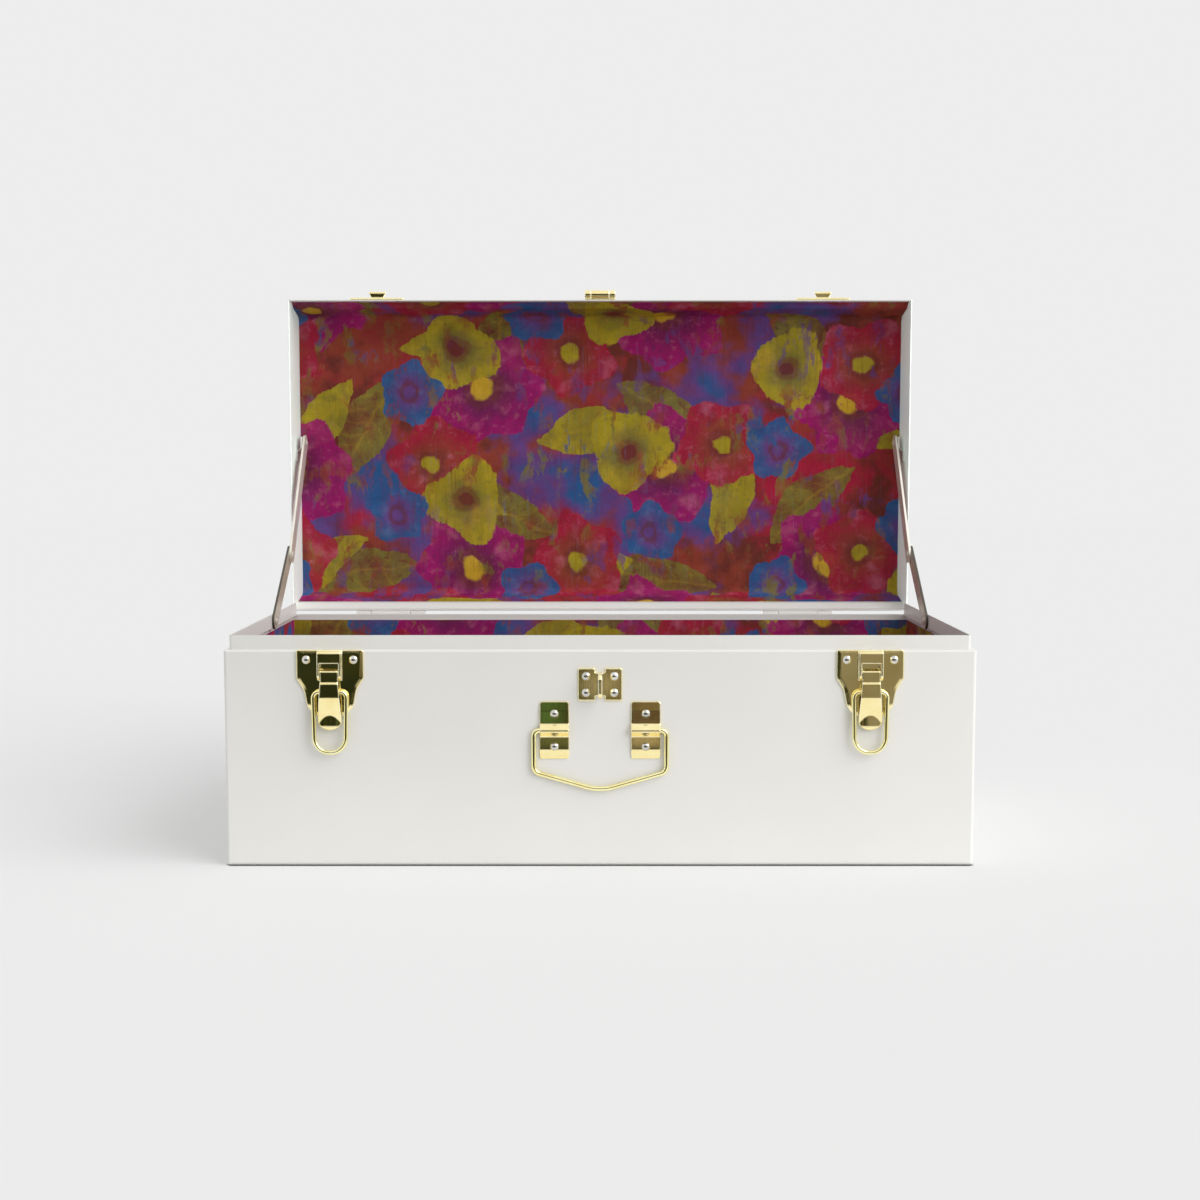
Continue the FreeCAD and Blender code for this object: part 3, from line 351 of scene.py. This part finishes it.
def makeMotifCell():
    # half-drop repeat: place inside the cell, its turn and its random picks
    tree, given, result = newGroup(
        "motifCell",
        [("Across", "NodeSocketFloat", 0.0), ("Along", "NodeSocketFloat", 0.0),
         ("Width", "NodeSocketFloat", 0.1), ("Height", "NodeSocketFloat", 0.1),
         ("Wander", "NodeSocketFloat", 0.02), ("Seed", "NodeSocketFloat", 1.0)],
        [("X", "NodeSocketFloat"), ("Y", "NodeSocketFloat"),
         ("Turn", "NodeSocketFloat"), ("Pick", "NodeSocketFloat")])
    across, width = given.outputs["Across"], given.outputs["Width"]
    height, wander = given.outputs["Height"], given.outputs["Wander"]
    column = calc(tree, "FLOOR", calc(tree, "DIVIDE", across, width))
    odd = calc(tree, "FLOORED_MODULO", column, 2.0)
    drop = calc(tree, "MULTIPLY", odd, calc(tree, "MULTIPLY", height, 0.5))
    along = calc(tree, "ADD", given.outputs["Along"], drop)
    row = calc(tree, "FLOOR", calc(tree, "DIVIDE", along, height))
    noise = addNode(tree, "ShaderNodeTexWhiteNoise", noise_dimensions="3D")
    feed(tree, noise.inputs["Vector"], vectorFrom(tree, column, row, given.outputs["Seed"]))
    picks = addNode(tree, "ShaderNodeSeparateColor")
    feed(tree, picks.inputs[0], noise.outputs["Color"])

    def local(value, index, size, pick):
        middle = calc(tree, "MULTIPLY", calc(tree, "ADD", index, 0.5), size)
        step = calc(tree, "MULTIPLY", calc(tree, "SUBTRACT", pick, 0.5), wander)
        return calc(tree, "ADD", calc(tree, "SUBTRACT", value, middle), step)

    feed(tree, result.inputs["X"], local(across, column, width, picks.outputs[0]))
    feed(tree, result.inputs["Y"], local(along, row, height, picks.outputs[1]))
    feed(tree, result.inputs["Turn"], calc(tree, "MULTIPLY", picks.outputs[2], 2 * math.pi))
    feed(tree, result.inputs["Pick"], noise.outputs["Value"])
    return tree


def makePoppy():
    # open flower seen from above: one at the rim, zero at the eye
    tree, given, result = newGroup(
        "poppy",
        [("X", "NodeSocketFloat", 0.0), ("Y", "NodeSocketFloat", 0.0), ("Turn", "NodeSocketFloat", 0.0),
         ("Size", "NodeSocketFloat", 0.05), ("Petals", "NodeSocketFloat", 5.0),
         ("Notch", "NodeSocketFloat", 0.18)],
        [("Reach", "NodeSocketFloat"), ("Fold", "NodeSocketFloat"), ("Round", "NodeSocketFloat")])
    x, y = given.outputs["X"], given.outputs["Y"]
    far = calc(tree, "SQRT", calc(tree, "ADD", calc(tree, "MULTIPLY", x, x), calc(tree, "MULTIPLY", y, y)))
    angle = calc(tree, "ADD", calc(tree, "ARCTAN2", y, x), given.outputs["Turn"])
    wave = calc(tree, "COSINE", calc(tree, "MULTIPLY", angle, given.outputs["Petals"]))
    rim = calc(tree, "ADD", calc(tree, "MULTIPLY", wave, given.outputs["Notch"]), 1.0)
    outline = calc(tree, "MULTIPLY", rim, given.outputs["Size"])
    feed(tree, result.inputs["Reach"], calc(tree, "DIVIDE", far, outline))
    feed(tree, result.inputs["Fold"], calc(tree, "MULTIPLY", calc(tree, "ADD", wave, 1.0), 0.5))
    feed(tree, result.inputs["Round"], calc(tree, "DIVIDE", far, given.outputs["Size"]))
    return tree


def makeLeaf():
    # lens-shaped leaf: below one inside, with its midrib and side veins
    tree, given, result = newGroup(
        "leaf",
        [("X", "NodeSocketFloat", 0.0), ("Y", "NodeSocketFloat", 0.0), ("Turn", "NodeSocketFloat", 0.0),
         ("Length", "NodeSocketFloat", 0.05), ("Width", "NodeSocketFloat", 0.02)],
        [("Reach", "NodeSocketFloat"), ("Vein", "NodeSocketFloat")])
    x, y, turn = given.outputs["X"], given.outputs["Y"], given.outputs["Turn"]
    cosine, sine = calc(tree, "COSINE", turn), calc(tree, "SINE", turn)
    along = calc(tree, "ADD", calc(tree, "MULTIPLY", x, cosine), calc(tree, "MULTIPLY", y, sine))
    over = calc(tree, "SUBTRACT", calc(tree, "MULTIPLY", y, cosine), calc(tree, "MULTIPLY", x, sine))
    side = calc(tree, "DIVIDE", calc(tree, "ABSOLUTE", over), given.outputs["Width"])
    run = calc(tree, "DIVIDE", along, given.outputs["Length"])
    feed(tree, result.inputs["Reach"], calc(tree, "ADD", calc(tree, "MULTIPLY", run, run), side))
    lean = calc(tree, "MULTIPLY", side, ribLean)
    ribs = calc(tree, "SINE", calc(tree, "ADD", calc(tree, "MULTIPLY", run, ribPitch), lean))
    midrib = spread(tree, side, 0.10, 0.02)
    feed(tree, result.inputs["Vein"], calc(tree, "MAXIMUM", midrib, spread(tree, ribs, 0.7, 1.0, 0.0, 0.6)))
    return tree


def makeBrushwork(look):
    # drags of a dry brush along the sheet, and the weave of the ground paper
    tree, given, result = newGroup(
        "brushwork", [("Across", "NodeSocketFloat", 0.0), ("Along", "NodeSocketFloat", 0.0)],
        [("Drag", "NodeSocketFloat"), ("Weave", "NodeSocketFloat"), ("Bleed", "NodeSocketFloat")])
    across, along = given.outputs["Across"], given.outputs["Along"]
    drawn = vectorFrom(tree, across, calc(tree, "MULTIPLY", along, look["dragStretch"]), 0.0)
    drag = noiseValue(tree, drawn, look["dragScale"], detail=5.0, roughness=0.62)
    bleed = noiseValue(tree, vectorFrom(tree, across, along, 3.0), look["bleedScale"], detail=5.0, roughness=0.6)
    weft, warp = [calc(tree, "SINE", calc(tree, "MULTIPLY", way, look["threads"])) for way in (across, along)]
    feed(tree, result.inputs["Drag"], drag)
    feed(tree, result.inputs["Weave"], calc(tree, "MULTIPLY", weft, warp))
    feed(tree, result.inputs["Bleed"], bleed)
    return tree


motifCell = makeMotifCell()
poppy = makePoppy()
leaf = makeLeaf()
brushwork = makeBrushwork(brushLook)


def makePrint(name, look, hand, sheetPlace):
    material, tree, shader = newMaterial(name)
    across, along = sheetPlace(tree)
    brush = placeGroup(tree, brushwork, Across=across, Along=along)
    bleed, drag = brush.outputs["Bleed"], brush.outputs["Drag"]

    def cloud(kind, detail=6.0, roughness=0.62):
        layer, scale = clouds[kind]
        place = vectorFrom(tree, across, along, layer)
        return noiseValue(tree, place, scale, detail=detail, roughness=roughness)

    def pulled(value, broadKind, fineKind):
        # a loose hand and a ragged brush pull every edge out of true
        broad = calc(tree, "SUBTRACT", cloud(broadKind, 3.0, 0.55), 0.5)
        fine = calc(tree, "SUBTRACT", cloud(fineKind, 4.0), 0.5)
        step = calc(tree, "ADD", calc(tree, "MULTIPLY", broad, hand["broadPull"]),
                    calc(tree, "MULTIPLY", fine, hand["finePull"]))
        return calc(tree, "ADD", value, step)

    u = pulled(across, "broadAcross", "fineAcross")
    v = pulled(along, "broadAlong", "fineAlong")
    fleck = cloud("fleck", 5.0, 0.7)

    # washed ground in warm and cool pools
    warm = spread(tree, cloud("warm"), 0.46, 0.62, smooth=True)
    paint = mixColour(tree, warm, look["brick"], look["crimson"])
    paint = mixColour(tree, spread(tree, cloud("umber"), 0.48, 0.60, smooth=True), paint, look["umber"])
    pools = cloud("pools", 4.0, 0.6)
    cool = mixColour(tree, spread(tree, pools, 0.55, 0.66, smooth=True), look["violet"], look["blue"])
    paint = mixColour(tree, spread(tree, pools, 0.47, 0.57, smooth=True), paint, cool)

    def cell(motif):
        width, height = motif["cell"]
        shiftX, shiftY = motif["shift"]
        return placeGroup(tree, motifCell, Across=calc(tree, "ADD", u, shiftX),
                          Along=calc(tree, "ADD", v, shiftY), Width=width, Height=height,
                          Wander=motif["wander"], Seed=motif["seed"])

    def shown(reach, spot, motif, cover):
        # dry bristles leave the rim of a shape broken, and some cells stay empty
        worn = calc(tree, "MULTIPLY_ADD", calc(tree, "SUBTRACT", drag, 0.5), hand["bristle"], reach)
        inside = calc(tree, "MULTIPLY", spread(tree, worn, *hand["rim"], smooth=True),
                      calc(tree, "LESS_THAN", spot.outputs["Pick"], motif["share"]))
        return calc(tree, "MULTIPLY", inside, cover)

    for motif in leaves:
        spot = cell(motif)
        blade = placeGroup(tree, leaf, X=spot.outputs["X"], Y=spot.outputs["Y"], Turn=spot.outputs["Turn"],
                           Length=motif["length"], Width=motif["width"])
        tone, dark = look[motif["tone"]], look[motif["shade"]]
        tint = mixColour(tree, spread(tree, bleed, 0.42, 0.66, 0.0, 0.8), tone, dark)
        tint = mixColour(tree, spread(tree, blade.outputs["Vein"], 0.0, 1.0, 0.0, 0.20), tint, look["gold"])
        tint = mixColour(tree, spread(tree, fleck, 0.47, 0.34, 0.0, 0.7), tint, dark)
        paint = mixColour(tree, shown(blade.outputs["Reach"], spot, motif, hand["leafCover"]), paint, tint)

    for motif in blooms:
        spot = cell(motif)
        bloom = placeGroup(tree, poppy, X=spot.outputs["X"], Y=spot.outputs["Y"], Turn=spot.outputs["Turn"],
                           Size=motif["size"], Petals=motif["petals"], Notch=motif["notch"])
        reach, fold, middle = [bloom.outputs[label] for label in ("Reach", "Fold", "Round")]
        rim, heart, light = look[motif["rim"]], look[motif["heart"]], look[motif["light"]]
        tint = mixColour(tree, spread(tree, reach, 0.30, 0.80, smooth=True), heart, rim)
        creases = calc(tree, "MULTIPLY", spread(tree, fold, 0.45, 0.05),
                       spread(tree, reach, 1.0, 0.3, 0.0, 0.75))
        tint = mixColour(tree, creases, tint, heart)
        sheen = calc(tree, "MULTIPLY", spread(tree, bleed, 0.50, 0.66),
                     spread(tree, fold, 0.3, 0.9, 0.0, 0.50))
        tint = mixColour(tree, sheen, tint, light)
        tint = mixColour(tree, spread(tree, fleck, 0.55, 0.70, 0.0, 0.40), tint, light)
        tint = mixColour(tree, spread(tree, fleck, 0.46, 0.32, 0.0, 0.75), tint, heart)
        tint = mixColour(tree, spread(tree, middle, 0.42, 0.28, 0.0, 0.6, smooth=True), tint, look["umber"])
        tint = mixColour(tree, spread(tree, middle, 0.24, 0.17, smooth=True), tint, look[motif["eye"]])
        paint = mixColour(tree, shown(reach, spot, motif, hand["bloomCover"]), paint, tint)

    # loose strokes of neighbouring colours pulled over the motifs
    stroke = vectorFrom(tree, calc(tree, "MULTIPLY", u, hand["strokeAcross"]),
                        calc(tree, "MULTIPLY", v, hand["strokeAlong"]), hand["strokeLayer"])
    strokes = noiseValue(tree, stroke, 1.0, detail=6.0, roughness=0.66)
    drift = cloud("drift")
    over = mixColour(tree, spread(tree, drift, 0.42, 0.48), look["violet"], look["brick"])
    over = mixColour(tree, spread(tree, drift, 0.51, 0.56), over, look["moss"])
    over = mixColour(tree, spread(tree, drift, 0.59, 0.63), over, look["blue"])
    cover = calc(tree, "MULTIPLY", spread(tree, strokes, 0.52, 0.59, smooth=True),
                 spread(tree, cloud("cover"), 0.40, 0.58, 0.15, 0.85))
    paint = mixColour(tree, cover, paint, over)

    # dry-brush drags let the ground through and grey the colour here and there
    thin = calc(tree, "MULTIPLY", spread(tree, drag, 0.52, 0.78),
                spread(tree, cloud("thin"), 0.42, 0.62, 0.1, 0.8))
    paint = mixColour(tree, thin, paint, look["umber"])
    chalk = calc(tree, "MULTIPLY", spread(tree, drag, 0.44, 0.26),
                 spread(tree, cloud("chalk"), 0.45, 0.65, 0.0, 0.4))
    paint = mixColour(tree, chalk, paint, look["sky"])
    wash = spread(tree, cloud("wash", 7.0, 0.72), 0.32, 0.68, 0.76, 1.16)
    depth = calc(tree, "MULTIPLY", wash, spread(tree, brush.outputs["Weave"], -1.0, 1.0, 0.90, 1.0))
    paint = mixColour(tree, 1.0, paint, vectorFrom(tree, depth, depth, depth), blend="MULTIPLY")
    feed(tree, shader.inputs["Base Color"], paint)
    feed(tree, shader.inputs["Roughness"], spread(tree, drag, *look["roughRange"], *look["roughness"]))
    bump = addNode(tree, "ShaderNodeBump")
    bump.inputs["Strength"].default_value = look["relief"]
    bump.inputs["Distance"].default_value = look["reliefDepth"]
    weave = calc(tree, "MULTIPLY", brush.outputs["Weave"], look["weaveRelief"])
    feed(tree, bump.inputs["Height"], calc(tree, "ADD", weave, drag))
    feed(tree, shader.inputs["Normal"], bump.outputs["Normal"])
    shader.inputs["Specular IOR Level"].default_value = look["shine"]
    return material


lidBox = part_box("lid_lining")
tubShift = (0.03, 0.06)
wallFacing = 0.7  # share of an axis in the normal of a face that counts as standing across it


def lidPlace(tree):
    # unrolled over the panel and its two turned sides
    spot = addNode(tree, "ShaderNodeSeparateXYZ")
    feed(tree, spot.inputs[0], addNode(tree, "ShaderNodeTexCoord").outputs["Object"])
    middle = (lidBox[0][2] + lidBox[1][2]) / 2
    rise = calc(tree, "SIGN", calc(tree, "SUBTRACT", spot.outputs[2], middle))
    depth = calc(tree, "SUBTRACT", lidBox[1][1], spot.outputs[1])
    turned = calc(tree, "MULTIPLY", rise, depth)
    return spot.outputs[0], calc(tree, "ADD", spot.outputs[2], turned)


def tubPlace(tree):
    # floor along Y, walls unrolled upwards from it, ends unrolled sideways
    spot = addNode(tree, "ShaderNodeSeparateXYZ")
    feed(tree, spot.inputs[0], addNode(tree, "ShaderNodeTexCoord").outputs["Object"])
    face = addNode(tree, "ShaderNodeSeparateXYZ")
    feed(tree, face.inputs[0], addNode(tree, "ShaderNodeNewGeometry").outputs["True Normal"])
    onEnd = calc(tree, "GREATER_THAN", calc(tree, "ABSOLUTE", face.outputs[0]), wallFacing)
    onWall = calc(tree, "GREATER_THAN", calc(tree, "ABSOLUTE", face.outputs[1]), wallFacing)
    height = spot.outputs[2]
    sideways = calc(tree, "MULTIPLY", calc(tree, "SIGN", spot.outputs[0]), height)
    upwards = calc(tree, "MULTIPLY", calc(tree, "SIGN", spot.outputs[1]), height)
    across = calc(tree, "MULTIPLY_ADD", onEnd, sideways, spot.outputs[0])
    along = calc(tree, "MULTIPLY_ADD", onWall, upwards, spot.outputs[1])
    return calc(tree, "ADD", across, tubShift[0]), calc(tree, "ADD", along, tubShift[1])


dress(makePrint("lidPrint", printLook, brushLook, lidPlace), ["lid_lining"])
dress(makePrint("tubPrint", printLook, brushLook, tubPlace), ["base_lining"])
print("print on the linings")


# floor, light and camera

studio = {"floorSize": 14.0, "floorDrop": 0.2 * mm, "floorTone": colour(240, 240, 240), "floorRough": 0.9,
          "backdropTone": colour(237, 237, 237), "floorGlow": 0.25, "fill": 0.62,
          "keyPower": 1.75, "keyAngle": 56.0, "keyTurn": (52.0, 0.0, 64.0),
          "darkNear": -0.50, "darkFar": -3.2, "darkWidth": 0.12, "darkFlare": 0.60, "shineFlare": 0.32,
          "darkTop": 1.3, "darkBlur": 0.05, "contactSamples": 8, "contactReach": 3.4 * mm,
          "contactRange": (0.40, 0.92), "contactShadowTone": colour(104, 104, 98)}
shade = {"dark": colour(38, 45, 30), "olive": colour(60, 60, 36), "tan": colour(148, 140, 122),
         "tanStart": 0.10, "tanFull": 0.30, "blotchScale": 7.0, "blotchRange": (0.44, 0.60),
         "paleRange": (0.35, 0.65, 0.78, 1.0), "cardEdge": (1.08, 0.88)}

# tinted cards on the floor in front of the object: middle, half size and tone
cards = [{"place": (0.012, -1.23), "half": (0.041, 0.150), "tone": colour(164, 154, 133)},
         {"place": (-0.0665, -1.06), "half": (0.0150, 0.230), "tone": colour(84, 116, 72)},
         {"place": (-0.050, -0.76), "half": (0.034, 0.060), "tone": colour(104, 106, 72)},
         {"place": (0.062, -1.06), "half": (0.034, 0.230), "tone": colour(92, 74, 56)},
         {"place": (0.062, -1.06), "half": (0.034, 0.024), "tone": colour(150, 138, 116)},
         {"place": (0.054, -0.76), "half": (0.034, 0.060), "tone": colour(174, 160, 138)},
         {"place": (-0.136, -3.20), "half": (0.036, 0.050), "tone": colour(84, 116, 72)},
         {"place": (0.122, -3.20), "half": (0.050, 0.050), "tone": colour(126, 108, 84)}]
lens = {"place": (-0.0001, -1.4675, 0.3298), "tilt": 85.0, "focal": 50.0, "sensor": 36.0}
lowLamp = {"place": (0.70, -0.85, 0.30), "aim": (0.25, -0.15, 0.08), "size": 0.5, "power": 1.47,
           "tone": (1.0, 1.0, 1.0), "lights": ""}
innerLamp = {"place": (0.08, -0.50, 0.45), "aim": (0.0, 0.2, 0.33), "size": 0.3, "power": 5.6,
             "tone": (0.80, 1.0, 0.98), "lights": "lid_end"}


def makeStudioShade(look, patches):
    # tones of the room on the camera's side: dark on the left, tan on the right, cards in the middle
    tree, given, result = newGroup(
        "studioShade", [("Place", "NodeSocketVector", None)], [("Tone", "NodeSocketColor")])
    place = given.outputs["Place"]
    axes = addNode(tree, "ShaderNodeSeparateXYZ")
    feed(tree, axes.inputs[0], place)
    across, away = axes.outputs[0], axes.outputs[1]
    blotch = noiseValue(tree, place, look["blotchScale"], detail=3.0)
    mottled = spread(tree, blotch, *look["blotchRange"], smooth=True)
    tone = mixColour(tree, mottled, look["dark"], look["olive"])
    pale = calc(tree, "MULTIPLY", spread(tree, across, look["tanStart"], look["tanFull"], smooth=True),
                spread(tree, blotch, *look["paleRange"]))
    tone = mixColour(tree, pale, tone, look["tan"])
    for card in patches:
        off = [calc(tree, "DIVIDE", calc(tree, "ABSOLUTE", calc(tree, "SUBTRACT", way, middle)), half)
               for way, middle, half in zip((across, away), card["place"], card["half"])]
        inside = spread(tree, calc(tree, "MAXIMUM", *off), *look["cardEdge"], smooth=True)
        tone = mixColour(tree, inside, tone, card["tone"])
    feed(tree, result.inputs["Tone"], tone)
    return tree


studioShade = makeStudioShade(shade, cards)


def makeFloor(look):
    half = look["floorSize"] / 2
    mesh = bpy.data.meshes.new("studioFloor")
    corners = [(-half, -half, 0), (half, -half, 0), (half, half, 0), (-half, half, 0)]
    mesh.from_pydata(corners, [], [(0, 1, 2, 3)])
    floor = bpy.data.objects.new("studioFloor", mesh)
    bpy.context.scene.collection.objects.link(floor)
    floor.location.z = -look["floorDrop"]
    material, tree, shader = newMaterial("studioFloor")
    # painted shadow: the floor colour darkens close to the object as a contact shadow
    contact = addNode(tree, "ShaderNodeAmbientOcclusion", samples=look["contactSamples"])
    contact.inputs["Distance"].default_value = look["contactReach"]
    clear = spread(tree, contact.outputs["AO"], *look["contactRange"], smooth=True)
    feed(tree, shader.inputs["Base Color"], mixColour(tree, clear, look["contactShadowTone"], look["floorTone"]))
    shader.inputs["Roughness"].default_value = look["floorRough"]
    shader.inputs["Specular IOR Level"].default_value = 0.0
    path = addNode(tree, "ShaderNodeLightPath")
    camera, glossy = path.outputs["Is Camera Ray"], path.outputs["Is Glossy Ray"]

    # pale and even to the camera, white in reflections
    pale = addNode(tree, "ShaderNodeEmission")
    feed(tree, pale.inputs["Color"], mixColour(tree, glossy, look["backdropTone"], white))
    even = addNode(tree, "ShaderNodeMixShader")
    seen = calc(tree, "MULTIPLY", calc(tree, "MULTIPLY", camera, clear), look["floorGlow"])
    feed(tree, even.inputs[0], calc(tree, "MAXIMUM", seen, glossy))
    tree.links.new(shader.outputs[0], even.inputs[1])
    tree.links.new(pale.outputs[0], even.inputs[2])

    # the darker side of the studio in front of the object, met by its reflections and shade only
    place = addNode(tree, "ShaderNodeTexCoord").outputs["Object"]
    axes = addNode(tree, "ShaderNodeSeparateXYZ")
    feed(tree, axes.inputs[0], place)
    blur = look["darkBlur"]
    near, far = look["darkNear"], look["darkFar"]
    depth = calc(tree, "MULTIPLY", spread(tree, axes.outputs[1], near + blur, near - blur),
                 spread(tree, axes.outputs[1], far - blur, far + blur))
    flare = calc(tree, "MULTIPLY_ADD", glossy, -look["shineFlare"], -look["darkFlare"])
    border = calc(tree, "MULTIPLY_ADD", axes.outputs[1], flare, look["darkWidth"])
    beyond = calc(tree, "SUBTRACT", calc(tree, "ABSOLUTE", axes.outputs[0]), border)
    width = spread(tree, beyond, blur, -blur)
    tone = placeGroup(tree, studioShade, Place=place).outputs["Tone"]
    dark = addNode(tree, "ShaderNodeEmission")
    feed(tree, dark.inputs["Color"], tone)
    blend = addNode(tree, "ShaderNodeMixShader")
    feed(tree, blend.inputs[0], calc(tree, "MULTIPLY", calc(tree, "MULTIPLY", depth, width),
                                     calc(tree, "SUBTRACT", 1.0, camera)))
    tree.links.new(even.outputs[0], blend.inputs[1])
    tree.links.new(dark.outputs[0], blend.inputs[2])
    tree.links.new(blend.outputs[0], tree.nodes["Material Output"].inputs["Surface"])
    mesh.materials.append(material)


def makeDarkWall(look):
    # the same dark side above the floor, behind the camera, met only by reflections
    far, top = look["darkFar"], look["darkTop"]
    half = look["darkWidth"] - (look["darkFlare"] + look["shineFlare"]) * far
    mesh = bpy.data.meshes.new("darkWall")
    corners = [(-half, far, 0), (half, far, 0), (half, far, top), (-half, far, top)]
    mesh.from_pydata(corners, [], [(0, 1, 2, 3)])
    wall = bpy.data.objects.new("darkWall", mesh)
    bpy.context.scene.collection.objects.link(wall)
    material = bpy.data.materials.new("darkWall")
    material.use_nodes = True
    tree = material.node_tree
    tree.nodes.clear()
    place = addNode(tree, "ShaderNodeTexCoord").outputs["Object"]
    glow = addNode(tree, "ShaderNodeEmission")
    feed(tree, glow.inputs["Color"], placeGroup(tree, studioShade, Place=place).outputs["Tone"])
    feed(tree, addNode(tree, "ShaderNodeOutputMaterial").inputs["Surface"], glow.outputs[0])
    mesh.materials.append(material)
    wall.visible_camera = False
    wall.visible_diffuse = False
    wall.visible_shadow = False
    wall.visible_transmission = False


def makeWorld(look):
    world = bpy.data.worlds.new("studio")
    bpy.context.scene.world = world
    world.use_nodes = True
    tree = world.node_tree
    tree.nodes.clear()
    path = addNode(tree, "ShaderNodeLightPath")
    glossy = path.outputs["Is Glossy Ray"]
    seen = calc(tree, "MAXIMUM", path.outputs["Is Camera Ray"],
                calc(tree, "MAXIMUM", glossy, path.outputs["Is Transmission Ray"]))
    light = addNode(tree, "ShaderNodeBackground")
    light.inputs["Color"].default_value = white
    light.inputs["Strength"].default_value = look["fill"]
    shown = addNode(tree, "ShaderNodeBackground")
    feed(tree, shown.inputs["Color"], mixColour(tree, glossy, look["backdropTone"], white))
    shown.inputs["Strength"].default_value = 1.0
    blend = addNode(tree, "ShaderNodeMixShader")
    feed(tree, blend.inputs[0], seen)
    tree.links.new(light.outputs[0], blend.inputs[1])
    tree.links.new(shown.outputs[0], blend.inputs[2])
    feed(tree, addNode(tree, "ShaderNodeOutputWorld").inputs["Surface"], blend.outputs[0])


def makeKey(look):
    lamp = bpy.data.lights.new("keyLight", "SUN")
    lamp.energy = look["keyPower"]
    lamp.angle = math.radians(look["keyAngle"])
    key = bpy.data.objects.new("keyLight", lamp)
    key.rotation_euler = [math.radians(turn) for turn in look["keyTurn"]]
    bpy.context.scene.collection.objects.link(key)


def makeSideLamp(name, look):
    # soft lamp for the pieces whose names start with look["lights"], and not for the floor
    lamp = bpy.data.lights.new(name, "AREA")
    lamp.energy = look["power"]
    lamp.color = look["tone"]
    lamp.size = look["size"]
    side = bpy.data.objects.new(name, lamp)
    side.location = look["place"]
    aim = Vector(look["aim"]) - Vector(look["place"])
    side.rotation_euler = aim.to_track_quat("-Z", "Y").to_euler()
    side.visible_glossy = False
    bpy.context.scene.collection.objects.link(side)
    lit = bpy.data.collections.new(name + "Lit")
    for nodeName, node in nodes.items():
        if nodeName.startswith(look["lights"]):
            lit.objects.link(node)
    side.light_linking.receiver_collection = lit


def makeCamera(look):
    data = bpy.data.cameras.new("frontCamera")
    data.lens = look["focal"]
    data.sensor_width = look["sensor"]
    camera = bpy.data.objects.new("frontCamera", data)
    camera.location = look["place"]
    camera.rotation_euler = (math.radians(look["tilt"]), 0.0, 0.0)
    bpy.context.scene.collection.objects.link(camera)
    bpy.context.scene.camera = camera


makeFloor(studio)
makeDarkWall(studio)
makeWorld(studio)
makeKey(studio)
makeSideLamp("lowLight", lowLamp)
makeSideLamp("innerLight", innerLamp)
makeCamera(lens)
bpy.context.scene.view_settings.view_transform = "Standard"
print("studio ready")
